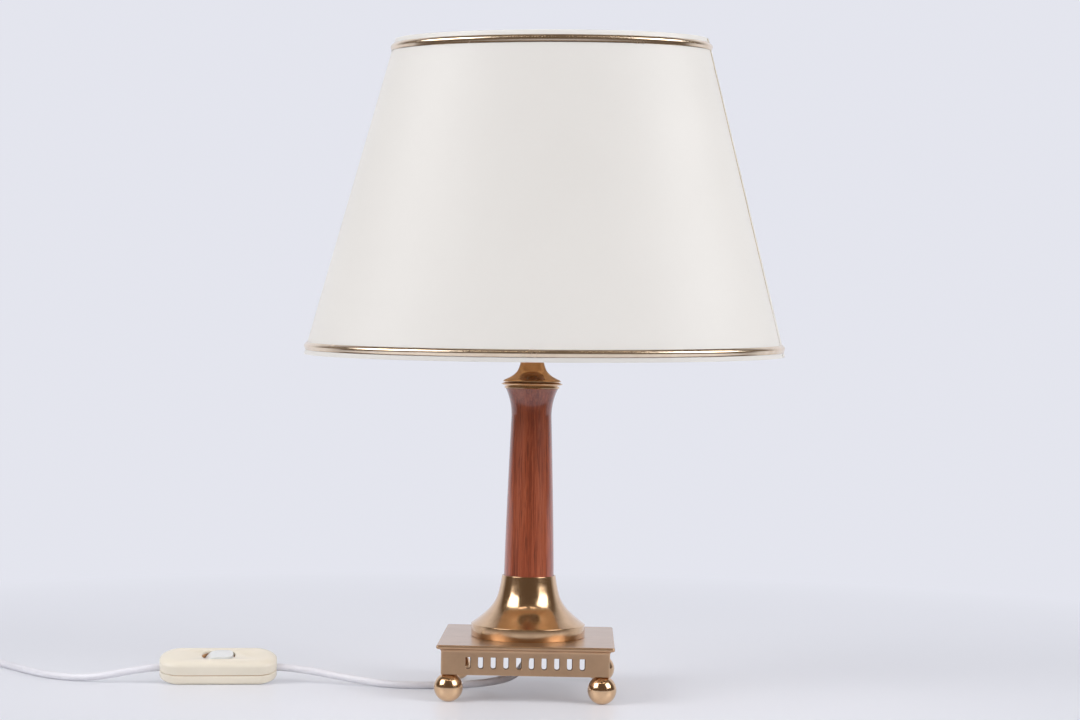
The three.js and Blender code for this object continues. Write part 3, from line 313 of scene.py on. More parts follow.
def laminate():
    finish = Finish("shade_laminate", (0.74, 0.715, 0.675), 0.5, Specular_IOR_Level=0.35,
                    Sheen_Weight=0.12, Sheen_Roughness=0.5)
    finish.mottle(finish.noise(9, 3, 0.5), 0.3, 0.7, (0.75, 0.725, 0.685), (0.73, 0.705, 0.665))
    weave = finish.noise(2600, 2, 0.5)
    finish.roughen(weave, 0.3, 0.7, 0.44, 0.56)
    finish.bump(weave, 0.05, 0.00004)
    return finish.material


def plastic(name, color, other, roughness, grain=1800):
    finish = Finish(name, color, roughness, Specular_IOR_Level=0.5)
    finish.mottle(finish.noise(45, 3, 0.55), 0.3, 0.75, color, other)
    fine = finish.noise(grain, 3, 0.6)
    finish.roughen(fine, 0.3, 0.7, roughness * 0.85, roughness * 1.2)
    finish.bump(fine, 0.5, 0.000002)
    return finish.material


def steel():
    color, dark = (0.52, 0.53, 0.54), (0.4264, 0.4346, 0.4428)
    finish = Finish("steel", color, 0.3, 1.0)
    grain = finish.noise(700, 4, 0.65)
    finish.roughen(grain, 0.25, 0.75, 0.24, 0.405)
    finish.mottle(finish.noise(110, 3, 0.5), 0.4, 0.8, color, dark)
    finish.bump(grain, 0.12, 0.00005)
    return finish.material


def cast_iron():
    finish = Finish("cast_iron", (0.10, 0.10, 0.105), 0.72, 0.85)
    grain = finish.noise(420, 5, 0.7)
    finish.roughen(grain, 0.2, 0.8, 0.6, 0.85)
    finish.bump(grain, 0.6, 0.0003)
    return finish.material


def opal_glass():
    finish = Finish("opal_glass", (0.86, 0.85, 0.81), 0.16, Coat_Weight=0.6, Coat_Roughness=0.05,
                    Subsurface_Weight=0.35, Subsurface_Scale=0.004)
    cloud = finish.noise(30, 2, 0.5)
    finish.put(finish.surface, Base_Color=finish.blend(cloud, (0.87, 0.86, 0.82), (0.84, 0.83, 0.79)))
    return finish.material


def porcelain():
    finish = Finish("porcelain", (0.78, 0.76, 0.71), 0.22, Coat_Weight=0.8, Coat_Roughness=0.08)
    cloud = finish.noise(60, 3, 0.5)
    finish.put(finish.surface, Base_Color=finish.blend(cloud, (0.79, 0.77, 0.72), (0.74, 0.72, 0.67)))
    finish.bump(cloud, 0.1, 0.0001)
    return finish.material


FINISHES = {"satin_brass": satin_brass(), "steel": steel(), "cast_iron": cast_iron(), "mahogany": mahogany(),
            "shade_laminate": laminate(), "porcelain": porcelain(), "opal_glass": opal_glass()}
for name, *look in (("polished_brass", (0.77, 0.525, 0.32), (0.66, 0.43, 0.245), 0.16),
                    ("gold_trim", (0.92, 0.77, 0.60), (0.85, 0.67, 0.49), 0.22)):
    FINISHES[name] = polished_brass(name, *look)
for name, *look in (("ivory_plastic", (0.79, 0.725, 0.61), (0.77, 0.705, 0.585), 0.17),
                    ("white_plastic", (0.74, 0.75, 0.745), (0.71, 0.72, 0.715), 0.3),
                    ("white_cord", (0.76, 0.75, 0.79), (0.71, 0.70, 0.74), 0.42, 500),
                    ("black_plastic", (0.018, 0.018, 0.02), (0.03, 0.028, 0.027), 0.3)):
    FINISHES[name] = plastic(name, *look)
SEAM = seam_edge()
# Painted shade: the lining's tan stands for the dim, warm light inside the shade
DIM_WARM_LINING = plastic("shade_lining", (0.82, 0.62, 0.40), (0.77, 0.57, 0.36), 0.6)
BAKELITE = plastic("brown_bakelite", (0.36, 0.19, 0.08), (0.29, 0.145, 0.06), 0.24)
# Painted shade: the dark brown of the rims inside the skirt's slots
SLOT_SHADE = plastic("slot_painted_shade", (0.20, 0.125, 0.07), (0.13, 0.08, 0.045), 0.6)
# Painted shade: the tan of the rocker's recess and of the lip in the shells' joint
RECESS_SHADE = plastic("tan_painted_recess_shade", (0.70, 0.40, 0.20), (0.60, 0.33, 0.16), 0.55)


# Mesh building

def turn_outward(mesh):
    build = bmesh.new()
    build.from_mesh(mesh)
    bmesh.ops.recalc_face_normals(build, faces=build.faces)
    build.to_mesh(mesh)
    build.free()


def as_mesh(name, solid):
    """The mesh of a solid, which is a mesh already or a pair of vertices and faces."""
    if isinstance(solid, bpy.types.Mesh):
        return solid
    verts, faces = solid
    mesh = bpy.data.meshes.new(name)
    mesh.from_pydata([tuple(v) for v in verts], [], faces)
    return mesh


def piece(name, solid, slot, body="lamp", replaces=(), at=Matrix(), angle=35, finish=None):
    """A solid in millimetres, placed in the shared frame, with its finish and its body."""
    mesh = as_mesh(name, solid)
    mesh.transform(COLUMN @ at)
    turn_outward(mesh)
    mesh.polygons.foreach_set("use_smooth", [True] * len(mesh.polygons))
    mesh.set_sharp_from_angle(angle=radians(angle))
    mesh.materials.clear()
    mesh.materials.append(finish or FINISHES[slot])
    obj = placed(name, mesh)
    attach(obj, body)
    if replaces:
        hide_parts(*replaces)
    return obj


def evenly(steps):
    """Shares in even steps from 0 to 1."""
    return [i / steps for i in range(steps + 1)]


def lathe(profile, steps, closed=False):
    """Turns [radius, height] pairs about Z."""
    verts, rows, faces = [], [], []
    for radius, height in profile:
        count = 1 if radius < 1e-6 else steps
        rows.append(range(len(verts), len(verts) + count))
        turn = [2 * pi * i / steps for i in range(count)]
        verts += [(radius * cos(a), radius * sin(a), height) for a in turn]
    for low, high in zip(rows, [*rows[1:], rows[0]] if closed else rows[1:]):
        for i in range(steps):
            j = (i + 1) % steps
            face = [low[i % len(low)], low[j % len(low)], high[j % len(high)], high[i % len(high)]]
            face = list(dict.fromkeys(face))
            if len(face) > 2:
                faces.append(face)
    return verts, faces


def loft(rings, joined=False):
    """Skin over rings of as many points each, capped unless the last joins the first."""
    count = len(rings[0])
    verts = [point for ring in rings for point in ring]
    faces = []
    bands = len(rings) if joined else len(rings) - 1
    for i in range(bands):
        low, high = i * count, (i + 1) % len(rings) * count
        for j in range(count):
            k = (j + 1) % count
            faces.append((low + j, low + k, high + k, high + j))
    if not joined:
        top = (len(rings) - 1) * count
        faces += [tuple(range(count))[::-1], tuple(range(top, top + count))]
    return verts, faces


def prism(outline, low, high):
    return loft([level(outline, low), level(outline, high)])


def bend(start, corner, end, steps):
    """Points of a curve from start to end that rounds the corner."""
    return [start * (1 - s) ** 2 + corner * 2 * s * (1 - s) + end * s * s for s in evenly(steps)]


def rounded(points, radius, steps=4, closed=False):
    """The line with its corners rounded. A point's third value is a radius of its own."""
    line = []
    count = len(points)
    for i, point in enumerate(points):
        corner = Vector(point[:2])
        size = point[2] if len(point) > 2 else radius
        line.append(tuple(corner))
        if size <= 0 or (not closed and i in (0, count - 1)):
            continue
        before = Vector(points[i - 1][:2]) - corner
        after = Vector(points[(i + 1) % count][:2]) - corner
        half = before.angle(after) / 2
        if half > 1.48:
            continue
        reach = min(size / tan(half), 0.49 * before.length, 0.49 * after.length)
        start, end = corner + before.normalized() * reach, corner + after.normalized() * reach
        line[-1:] = [tuple(p) for p in bend(start, corner, end, steps)]
    return line


def rounded_path(points, radius):
    """The line through points in space with its corners rounded."""
    line = [points[0]]
    for a, b, c in zip(points, points[1:], points[2:]):
        reach = min(radius, 0.45 * (a - b).length, 0.45 * (c - b).length)
        line += bend(b + (a - b).normalized() * reach, b, b + (c - b).normalized() * reach, 5)
    return [*line, points[-1]]


def soft_ring(section, radius, steps, corner_steps=3):
    """A section with its corners rounded, turned about Z."""
    return lathe(rounded(section, radius, corner_steps, closed=True), steps, closed=True)


def spline(points, steps):
    """Points at even steps between each two of the points of a smooth curve."""
    points = [Vector(p) for p in points]
    line = []
    for i in range(len(points) - 1):
        a, b, c = points[max(i - 1, 0)], points[i], points[i + 1]
        d = points[min(i + 2, len(points) - 1)]
        for s in evenly(steps)[:-1]:
            line.append(0.5 * ((2 * b) + (c - a) * s + (2 * a - 5 * b + 4 * c - d) * s * s
                               + (3 * b - a - 3 * c + d) * s ** 3))
    return [tuple(p) for p in [*line, points[-1]]]


def full_turn(count):
    return [2 * pi * i / count for i in range(count)]


def circle(radius, count):
    return [(radius * cos(a), radius * sin(a)) for a in full_turn(count)]


def rectangle(width, depth, radius, steps):
    """Rounded rectangle, counterclockwise."""
    points = []
    for quarter, (x, y) in enumerate(((1, 1), (-1, 1), (-1, -1), (1, -1))):
        for share in evenly(steps):
            angle = (quarter + share) * pi / 2
            points.append((x * (width / 2 - radius) + radius * cos(angle),
                           y * (depth / 2 - radius) + radius * sin(angle)))
    return points


def level(outline, z):
    return [(x, y, z) for x, y in outline]


def cut(target, *tools):
    """The mesh of one solid less others."""
    objects = []
    for solid in (target, *tools):
        mesh = as_mesh("cut", solid)
        turn_outward(mesh)
        objects.append(placed("cut", mesh))
    for tool in objects[1:]:
        modifier = objects[0].modifiers.new("cut", "BOOLEAN")
        modifier.operation = "DIFFERENCE"
        modifier.solver = "EXACT"
        modifier.object = tool
    graph = bpy.context.evaluated_depsgraph_get()
    result = bpy.data.meshes.new_from_object(objects[0].evaluated_get(graph))
    for obj in objects:
        bpy.data.objects.remove(obj)
    return result


def merged(*solids):
    verts, faces = [], []
    for more_verts, more_faces in solids:
        start = len(verts)
        verts += more_verts
        faces += [tuple(i + start for i in face) for face in more_faces]
    return verts, faces


def moved(solid, matrix):
    verts, faces = solid
    return [tuple(matrix @ Vector(v)) for v in verts], faces


def swept(line, section):
    """Tube of a section, [sideways, upwards] pairs, along a line of points."""
    line = [Vector(p) for p in line]
    rings = []
    for i, point in enumerate(line):
        ahead = (line[min(i + 1, len(line) - 1)] - line[max(i - 1, 0)]).normalized()
        side = Vector((0, 0, 1)).cross(ahead).normalized()
        top = ahead.cross(side)
        rings.append([point + side * x + top * y for x, y in section])
    return loft(rings)


# Cord: its route from the base through the switch to the coil and the plug

def in_switch(along, up=0.0):
    return tuple(SWITCH @ Vector((along, 0, up)))


def coil_point(turn):
    radius = COIL_RADIUS - COIL_PITCH * (COIL_TURNS - abs(turn - COIL_TURNS))
    share = min(max((turn - COIL_TURNS) / 0.5 + 0.5, 0), 1)
    climb = share * share * (3 - 2 * share)
    angle = COIL_START + 2 * pi * turn
    return Vector((COIL_CENTRE[0] + radius * cos(angle), COIL_CENTRE[1] + radius * sin(angle),
                   CORD_RADIUS + COIL_PITCH * climb))


COIL_HEADING = Vector((-sin(COIL_START), cos(COIL_START), 0))
COIL_IN = coil_point(0) - COIL_HEADING * 2 * CORD_RADIUS
COIL_OUT = coil_point(2 * COIL_TURNS) + COIL_HEADING * 2 * CORD_RADIUS
PLUG_PLACE = COIL_OUT + COIL_HEADING * LEAD_TO_BOOT
PLUG = translation(PLUG_PLACE.x, PLUG_PLACE.y, PLUG_THICK / 2) @ Matrix.Rotation(
    COIL_START + pi / 2, 4, "Z")
CORD_EXIT = (0, 0, 30.396)

ROUTE_TO_SWITCH = [
    (-0.2, 0.04, 27), (-1.1, 0.2, 23.1), (-3, 0.6, 18.7), (-6.1, 1.2, 14.5), (-9.9, 2, 11.2),
    (-14.8, 3, 8.7), (-21.6, 4.5, 6.6), (-28.6, 5.9, 5), (-36.3, 6.9, 3.8), (-45, 6.8, 3),
    (-55, 5, 2.78), (-69, 1, 2.78), (-86, -0.5, 2.78), (-103.5, 1.8, 3.1), (-119, 6.4, 4.1),
    (-134.5, 11.7, 5.7), (-150, 15.7, 7.7), (-166, 18.3, 9.7),
]
ROUTE_TO_COIL = [
    (-289.5, 1.8, 8.8), (-299.5, 0.8, 7), (-309.5, 0.8, 5.2), (-320.5, 2, 3.7), (-332, 5.2, 2.88),
    (-344, 10.2, 2.78), (-357, 18.4, 2.78), (-370, 31, 2.78), (-386, 49, 2.78), (-405, 70, 2.78),
]
UNDER_ROCKER = -3.2


def cord_route():
    """It dips under the rocker inside the switch, where nothing shows."""
    turns = [coil_point(i / 16) for i in range(2 * COIL_TURNS * 16 + 1)]
    inside = [in_switch(45.4), in_switch(34.5), in_switch(12, UNDER_ROCKER), in_switch(-12, UNDER_ROCKER),
              in_switch(-34.5), in_switch(-45.4)]
    return [
        CORD_EXIT, *ROUTE_TO_SWITCH, *inside, *ROUTE_TO_COIL, COIL_IN - COIL_HEADING * 5.8, COIL_IN,
        *turns, COIL_OUT, PLUG @ Vector((0, 0, 0)), PLUG @ Vector((BOOT_LENGTH - 0.5, 0, 0)),
    ]


def make_cord():
    curve = bpy.data.curves.new("cord", "CURVE")
    curve.dimensions = "3D"
    curve.bevel_depth = CORD_RADIUS * MM
    curve.bevel_resolution = 6
    curve.resolution_u = 8
    curve.use_fill_caps = True
    points = [COLUMN @ Vector(p) for p in cord_route()]
    line = curve.splines.new("BEZIER")
    line.bezier_points.add(len(points) - 1)
    for knot, point in zip(line.bezier_points, points):
        knot.co = point
        knot.handle_left_type = knot.handle_right_type = "AUTO"
    curve.materials.append(FINISHES["white_cord"])
    cord = placed("cord", curve)
    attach(cord, "lamp")
    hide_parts("cord_base_to_switch", "cord_switch_to_coil", "cord_coil", "cord_coil_to_plug")
    return cord


cord = make_cord()


# Base

def square(half, z, corner=1.4):
    return level(rectangle(2 * half, 2 * half, corner, 6), z)


def make_base_plate():
    middle, tall = (PLATE_TOP + PLATE_BOTTOM) / 2, (PLATE_TOP - PLATE_BOTTOM) / 2
    rings = [square(PLATE_HALF - 3, PLATE_BOTTOM)]
    for share in evenly(10):
        angle = pi * (share - 0.5)
        inset = 1.1 * (1 - cos(angle) ** 0.8)
        rings.append(square(PLATE_HALF - inset, middle + tall * sin(angle), 1.6))
    rings.append(square(PLATE_HALF - 3, PLATE_TOP))
    piece("base_plate_rounded", loft(rings), "satin_brass", replaces=["base_plate"])


def slot_ring(along, y, grow, offset=0):
    """Outline of a slot in the front wall, square at the top and round at the bottom."""
    side, end = SLOT_WIDTH / 2 + grow, SLOT_HEIGHT / 2 + grow
    corners = [(side, -end, 1.7), (side, end), (-side, end), (-side, -end, 1.7)]
    outline = rounded(corners, 0.5, 5, closed=True)
    return [(x + along - offset, -y, z + SLOT_MIDDLE + offset) for x, z in outline]


def slot_tool(along, sideways):
    """Cutter through both walls, with the sharp edges taken off its mouths."""
    section = ((SKIRT_HALF + 3, 0.12), (SKIRT_HALF + 0.02, 0.12), (SKIRT_HALF - 0.12, 0),
               (SKIRT_HALF - SKIRT_WALL - 0.02, 0))
    rings = [slot_ring(along, y, grow) for y, grow in section]
    rings += [[(x, -y, z) for x, y, z in ring] for ring in reversed(rings)]
    solid = loft(rings)
    return moved(solid, rotation(90, "Z")) if sideways else solid


def make_base_skirt():
    inner = SKIRT_HALF - SKIRT_WALL
    rings = [square(SKIRT_HALF - 0.25, SKIRT_BOTTOM), square(SKIRT_HALF, SKIRT_BOTTOM + 0.3)]
    for share in evenly(8):
        angle = share * pi / 2
        rings.append(square(SKIRT_HALF + COVE_RADIUS * (1 - cos(angle)),
                            PLATE_BOTTOM - COVE_RADIUS * (1 - sin(angle))))
    rings += [square(inner, PLATE_BOTTOM), square(inner, SKIRT_BOTTOM + 0.25),
              square(inner + 0.25, SKIRT_BOTTOM)]
    spread = [(i - (SLOT_COUNT - 1) / 2) * SLOT_PITCH for i in range(SLOT_COUNT)]
    tools = [merged(*[slot_tool(at, sideways) for at in spread]) for sideways in (False, True)]
    piece("base_skirt_pierced", cut(loft(rings, joined=True), *tools), "satin_brass",
          replaces=["base_skirt"], angle=25)
    # Rims inside each slot, shifted so that a dark strip shows at its lower and right edges: painted shade
    back, front = inner + 0.05, SKIRT_HALF - 0.9
    section = ((front, 0.1, 0), (back, 0.1, 0), (back, -0.3, 0.3), (front, -0.3, 0.3))
    rims = [loft([slot_ring(along, *ring) for ring in section], joined=True) for along in spread]
    quarters = [rotation(90 * quarter, "Z") for quarter in range(4)]
    rims = [moved(rim, quarter) for rim in rims for quarter in quarters]
    piece("slot_rims", merged(*rims), "satin_brass", finish=SLOT_SHADE)
    place = inner - LUG_SIZE / 2 + 0.05
    lugs = []
    for x, y in CORNERS.values():
        outline = [(u + x * place, v + y * place) for u, v in rectangle(LUG_SIZE, LUG_SIZE, 1.5, 4)]
        lugs.append(prism(outline, SKIRT_BOTTOM + 0.05, LUG_TOP))
    piece("base_skirt_lugs", merged(*lugs), "satin_brass")


def make_feet():
    seat = asin(BALL_SEAT_RADIUS / BALL_RADIUS)
    rest = pi - asin(BALL_REST_RADIUS / BALL_RADIUS)
    arc = [rest + (seat - rest) * share for share in evenly(40)]
    ball = [(BALL_RADIUS * sin(a), BALL_RADIUS * cos(a)) for a in arc]
    profile = [(0, ball[0][1]), *ball, (0, ball[-1][1])]
    screw = [(0, LUG_TOP), (2.9, LUG_TOP), (2.9, LUG_TOP + 1.2), (2.2, LUG_TOP + 2.1), (0, LUG_TOP + 2.2)]
    slot = prism(rectangle(8, 0.9, 0.1, 2), LUG_TOP + 1.3, LUG_TOP + 3)
    for name, (x, y) in CORNERS.items():
        at = translation(x * BALL_PLACE, y * BALL_PLACE, 0)
        foot = at @ translation(0, 0, BALL_CENTRE)
        piece(f"ball_{name}", lathe(profile, 72), "polished_brass", replaces=[f"ball_foot_{name}"], at=foot)
        piece(f"screw_{name}", cut(lathe(rounded(screw, 0.5), 32), slot), "steel",
              replaces=[f"foot_screw_{name}"], at=at)


def threads(radius, depth, pitch, low, high):
    """Profile of fine grooves up a rod."""
    line, z = [], low
    while z + pitch <= high:
        line += [(radius, z), (radius - depth, z + pitch * 0.5)]
        z += pitch
    return [*line, (radius, z), (radius, high)]


def hexagon_nut(across, low, high):
    """Nut with its lower corners turned off and a hole for the tube."""
    corner, inside, chamfer = across / sqrt(3), across / 2 + 0.1, 0.8
    corners = lathe([(inside, low - 1), (corner + 3, low - 1), (corner + 3, low + chamfer),
                     (corner, low + chamfer), (inside, low - 0.01)], 48, closed=True)
    hole = prism(circle(TUBE_BORE, 32), low - 1, high + 1)
    return cut(prism(circle(corner, 6), low, high), corners, hole)


def make_clamping():
    tube = [(4, TUBE_BOTTOM), *threads(TUBE_RADIUS, 0.45, 1.0, TUBE_BOTTOM, TUBE_TOP), (4, TUBE_TOP)]
    piece("tube_threaded", lathe(tube, 32, closed=True), "steel", replaces=["threaded_tube"], angle=60)
    washer = [(TUBE_BORE, NUT_TOP), (WASHER_RADIUS, NUT_TOP), (WASHER_RADIUS, PLATE_BOTTOM),
              (TUBE_BORE, PLATE_BOTTOM)]
    piece("washer_under_plate", soft_ring(washer, 0.4, 72), "steel", replaces=["base_washer"])
    nut = hexagon_nut(NUT_ACROSS, NUT_TOP - NUT_THICK, NUT_TOP)
    piece("nut_under_plate", nut, "steel", replaces=["base_nut"])
    bore, shank, rim = 3.05, 3.7, 6.5
    bush = [(bore, BUSH_BOTTOM), (rim, BUSH_BOTTOM, 0.5), (rim, TUBE_BOTTOM, 0.2), (shank, TUBE_BOTTOM),
            (shank, TUBE_BOTTOM + 6), (bore, TUBE_BOTTOM + 6)]
    piece("bush_of_tube", soft_ring(bush, 0.2, 48), "black_plastic", replaces=["tube_bush"])
    lead_top = CORE_BOTTOM - 0.3
    lead = [(0, BUSH_BOTTOM), (CORD_RADIUS, BUSH_BOTTOM), (CORD_RADIUS, lead_top), (0, lead_top)]
    piece("lead_in_tube", lathe(lead, 24), "white_cord", replaces=["inner_cord"])


# Bell foot, column and cap

def sweep(inner, outer, low, high, shares):
    """Hollow curve from the outer radius at its foot to the inner one at its top."""
    return spline([(inner + out * (outer - inner), low + up * (high - low)) for out, up in shares], 8)


def bell_line(inset=0.0):
    shares = [(1, 0), (0.66, 0.16), (0.35, 0.346), (0.16, 0.544), (0.055, 0.793), (0, 1)]
    line = sweep(WOOD_FOOT_RADIUS + 0.3 + 1, BELL_RADIUS, BELL_FLANGE, BELL_HEIGHT, shares)
    return [(x - inset, z - inset / 2) for x, z in line]


def make_bell():
    line, at = bell_line(), translation(0, 0, PLATE_TOP)
    flange = rounded([(BELL_RADIUS - 0.4, 0), (BELL_RADIUS, 0.25), (*line[0], 0.4), line[1]], 0.3)
    lip, seat = 18.5, BELL_HEIGHT - 2.4
    top = rounded([line[-2], (19.5, BELL_HEIGHT, 0.35), (lip, BELL_HEIGHT, 0.3), (lip, seat),
                   (TUBE_BORE, seat)], 0.1)
    hollow = [p for p in bell_line(1.0) if p[1] < seat - 2]
    inside = [(TUBE_BORE, seat - 1), (lip - 1, seat - 1), *reversed(hollow),
              (BELL_RADIUS - 1, BELL_FLANGE - 0.5), (BELL_RADIUS - 1, 0)]
    profile = [*flange, *line[2:-2], *top, *inside]
    piece("bell_spun", lathe(profile, 160, closed=True), "polished_brass", replaces=["bell_foot"],
          at=at, angle=40)
    weight = [(TUBE_BORE, 0.1), (36.5, 0.1), (36.5, 8.6), (TUBE_BORE, 8.6)]
    piece("weight_cast", soft_ring(weight, 1.2, 64), "cast_iron", replaces=["foot_weight"], at=at)


def make_column():
    """A taper with a flare on top."""
    foot, neck, lip = WOOD_FOOT_RADIUS, WOOD_NECK_RADIUS, WOOD_TOP_RADIUS
    tall = WOOD_TOP - WOOD_BOTTOM
    start = tall - WOOD_FLARE
    taper = [(foot - (foot - neck) * s ** 1.25, start * s) for s in evenly(28)]
    flare = [(neck + (lip - neck) * s ** 2.1, start + WOOD_FLARE * s) for s in evenly(16)[1:-1]]
    profile = [(TUBE_BORE, 0), *taper, *flare, (lip, tall - 0.3), (lip - 0.25, tall), (TUBE_BORE, tall)]
    piece("column_wood", lathe(profile, 128, closed=True), "mahogany", replaces=["wood_column"],
          at=translation(0, 0, WOOD_BOTTOM))


def make_cap():
    """A band, a bead between two dark grooves, and a hollow cone."""
    band, bead, lip, neck = 20, 22.3, 21.2, 8.2
    low, high = WOOD_TOP, WOOD_TOP + 6.2
    shoulder, groove = band + 0.4, 0.5
    cone = sweep(neck, shoulder, high, CAP_TOP, [(1, 0), (0.54, 0.2), (0.25, 0.42), (0.1, 0.69), (0, 1)])
    bead_low = low + 1.6 + groove
    bead_high = bead_low + 2.2
    ring = rounded([(band, low + 0.3), (band, low + 1.6, 0.2), (band - 1.2, low + 1.6, 0),
                    (band - 1.2, bead_low, 0), (shoulder, bead_low, 0.3), (bead, bead_low + 0.9, 0.35),
                    (bead, bead_high - 0.9, 0.35), (shoulder, bead_high, 0.3), (band - 0.2, bead_high, 0),
                    (band - 0.2, bead_high + groove, 0), (lip, bead_high + groove, 0.15),
                    (lip, bead_high + 2 * groove, 0.3), (shoulder, high)], 0.2)
    profile = [(TUBE_BORE, low), (band - 0.3, low), *ring, *cone[1:-1], (neck, CAP_TOP - 0.4),
               (neck - 0.4, CAP_TOP), (TUBE_BORE, CAP_TOP)]
    piece("cap_turned", lathe(profile, 144, closed=True), "polished_brass", replaces=["column_cap"], angle=30)


# Lamp holder and bulb

def knurled(low):
    """Ring on the holder's sleeve with 40 grooves round its edge."""
    inner, outer, high = HOLDER_RADIUS + 0.3, HOLDER_RADIUS + 6.8, low + 4
    rings = []
    for radius, z, deep in ((outer - 0.4, low, 0), (outer, low + 0.4, 0.35), (outer, high - 0.4, 0.35),
                            (outer - 0.4, high, 0), (inner, high, 0), (inner, low, 0)):
        ring = []
        for i, angle in enumerate(full_turn(40 * 6)):
            groove = deep * (0.5 + 0.5 * cos(2 * pi * i / 6)) ** 2
            ring.append(((radius - groove) * cos(angle), (radius - groove) * sin(angle), z))
        rings.append(ring)
    return loft(rings, joined=True)


def make_holder():
    low, seam, outer = HOLDER_BOTTOM, SLEEVE_BOTTOM, HOLDER_RADIUS
    inner = outer - 1.8
    piece("nut_of_holder", hexagon_nut(LOCKNUT_ACROSS, CAP_TOP, low), "steel", replaces=["holder_locknut"])
    dome = spline([(9.6, low), (13.6, low + 1.6), (16.5, low + 4.8), (18.5, low + 8.6), (outer, low + 12)], 5)
    cap = [(TUBE_BORE, low), *dome, (outer, seam - 0.4), (outer - 0.4, seam), (inner, seam),
           (inner, seam - 3.8), (14.7, low + 6.6), (7.8, low + 1.8), (TUBE_BORE, low + 1.8)]
    piece("holder_dome", lathe(cap, 80, closed=True), "black_plastic", replaces=["holder_cap"],
          finish=BAKELITE)
    sleeve = [(inner, seam), (outer, seam), *threads(outer, 0.55, 2.0, seam + 8, SLEEVE_TOP - 1),
              (outer - 0.4, SLEEVE_TOP), (inner, SLEEVE_TOP)]
    piece("holder_threaded", lathe(sleeve, 80, closed=True), "black_plastic", replaces=["holder_sleeve"],
          angle=60, finish=BAKELITE)
    core = rounded([(0, CORE_BOTTOM), (17.1, CORE_BOTTOM), (17.1, CORE_TOP), (0, CORE_TOP)], 0.6)
    piece("core_porcelain", lathe(core, 64), "porcelain", replaces=["holder_core"])
    low = CORE_TOP
    shell = [(4, low), (14, low), (14, low + 25.5), (13.5, low + 25.5), (13.5, low + 0.5), (4, low + 0.5)]
    piece("shell_of_holder", soft_ring(shell, 0.1, 64, 2), "polished_brass", replaces=["screw_shell"])
    contact = rounded([(0, low), (3, low), (3, low + 2.2, 0.8), (1.8, low + 3, 0.6), (0, low + 3)], 0.3)
    piece("contact_spring", lathe(contact, 32), "polished_brass", replaces=["centre_contact"])
    for name, z, node in (("ring_under_shade", RING_BOTTOM, "shade_ring_lower"),
                          ("ring_over_shade", RING_BOTTOM + 6.5, "shade_ring_upper")):
        piece(name, knurled(z), "black_plastic", replaces=[node], finish=BAKELITE)


def make_bulb():
    radius, low, top = 13.2, BULB_BOTTOM, BULB_CAP_TOP
    cap = [(0, low), (3.4, low), (5, low + 0.9), (5.6, low + 1.7), (12.0, low + 5),
           *threads(radius, 0.7, 3.6, low + 5.6, top - 3.4), (radius, top), (0, top)]
    piece("bulb_screw_cap", lathe(cap, 64), "polished_brass", "bulb", ["bulb_cap"], angle=55)
    reach = BULB_GLOBE - top
    shares = [(0.455, 0.13), (0.73, 0.42), (0.94, 0.72), (1, 1)]
    neck = spline([(12.8, top), *[(out * BULB_RADIUS, top + up * reach) for out, up in shares]], 8)
    turn = [pi * i / 48 for i in range(1, 24)]
    globe = [(BULB_RADIUS * cos(a), BULB_GLOBE + BULB_RADIUS * sin(a)) for a in turn]
    glass = [(0, top), *neck, *globe, (0, BULB_GLOBE + BULB_RADIUS)]
    piece("bulb_opal", lathe(glass, 96), "opal_glass", "bulb", ["bulb_glass"])


# Shade

def shade_point(height, angle, out):
    """Point on the shade's cone, or so far out from it."""
    share = height / SHADE_HEIGHT
    wide, deep = [(foot + (top - foot) * share) / 2 + out for foot, top in (SHADE_WIDE, SHADE_DEEP)]
    return (SHADE_SKEW * share + wide * cos(angle), deep * sin(angle), height)


def shade_ring(height, out):
    return [shade_point(height, angle, out) for angle in full_turn(SHADE_STEPS)]


def shade_band(height, section):
    return loft([shade_ring(height + up, out) for out, up in section], joined=True)


def make_shade():
    foot, top = -SHADE_RIM, SHADE_HEIGHT + SHADE_RIM
    heights = [foot, foot + 0.3, *[SHADE_HEIGHT * share for share in evenly(8)], top - 0.3, top]
    outside = [shade_ring(z, -0.12 if z in (foot, top) else 0) for z in heights]
    inside = [shade_ring(z, -0.88 if z in (foot, top) else -1) for z in reversed(heights)]
    piece("shade_laminated", loft([*outside, *inside], joined=True), "shade_laminate", "shade",
          ["shade_shell"], at=SHADE, angle=50)
    lining = [(-0.97, foot + 1), (-0.97, top - 1), (-1.08, top - 1), (-1.08, foot + 1)]
    # Its tan is painted shade: the dim, warm light inside the shade
    piece("shade_lining", shade_band(0, lining), "shade_laminate", "shade", at=SHADE, finish=DIM_WARM_LINING)
    half, bulge, lift = 2.7, 1.7, 0.3
    ups = [-cos(pi * share) for share in evenly(14)]
    arc = [(lift + (bulge - lift) * sin(pi * (up / 2 + 0.5) ** 1.4), half * up) for up in ups]
    wire = [(x - 2.8, y) for x, y in circle(1.5, 12)]
    for name, height in (("bottom", 0), ("top", SHADE_HEIGHT)):
        piece(f"trim_{name}", shade_band(height, arc), "gold_trim", "shade", [f"shade_trim_{name}"],
              at=SHADE, angle=60)
    for name, height in (("bottom", foot / 2), ("top", SHADE_HEIGHT + SHADE_RIM / 2)):
        piece(f"wire_{name}", shade_band(height, wire), "steel", "shade", [f"shade_wire_{name}"], at=SHADE)


def make_seam():
    """The laminate's overlap: a narrow strip with a glued edge, down the shade's right."""
    foot, tall = -SHADE_RIM + 0.4, SHADE_HEIGHT + 2 * SHADE_RIM - 0.8
    for name, first, last, out, finish in (("seam_strip", -0.13, 0.06, 0.26, None),
                                           ("seam_edge", -0.142, -0.128, 0.3, SEAM)):
        angles = [first + (last - first) * share for share in evenly(6)]
        way = [*[(a, out) for a in angles], *[(a, 0.02) for a in reversed(angles)]]
        rings = [[shade_point(foot + tall * share, *at) for at in way] for share in evenly(12)]
        piece(name, loft(rings), "shade_laminate", "shade", at=SHADE, finish=finish, angle=50)


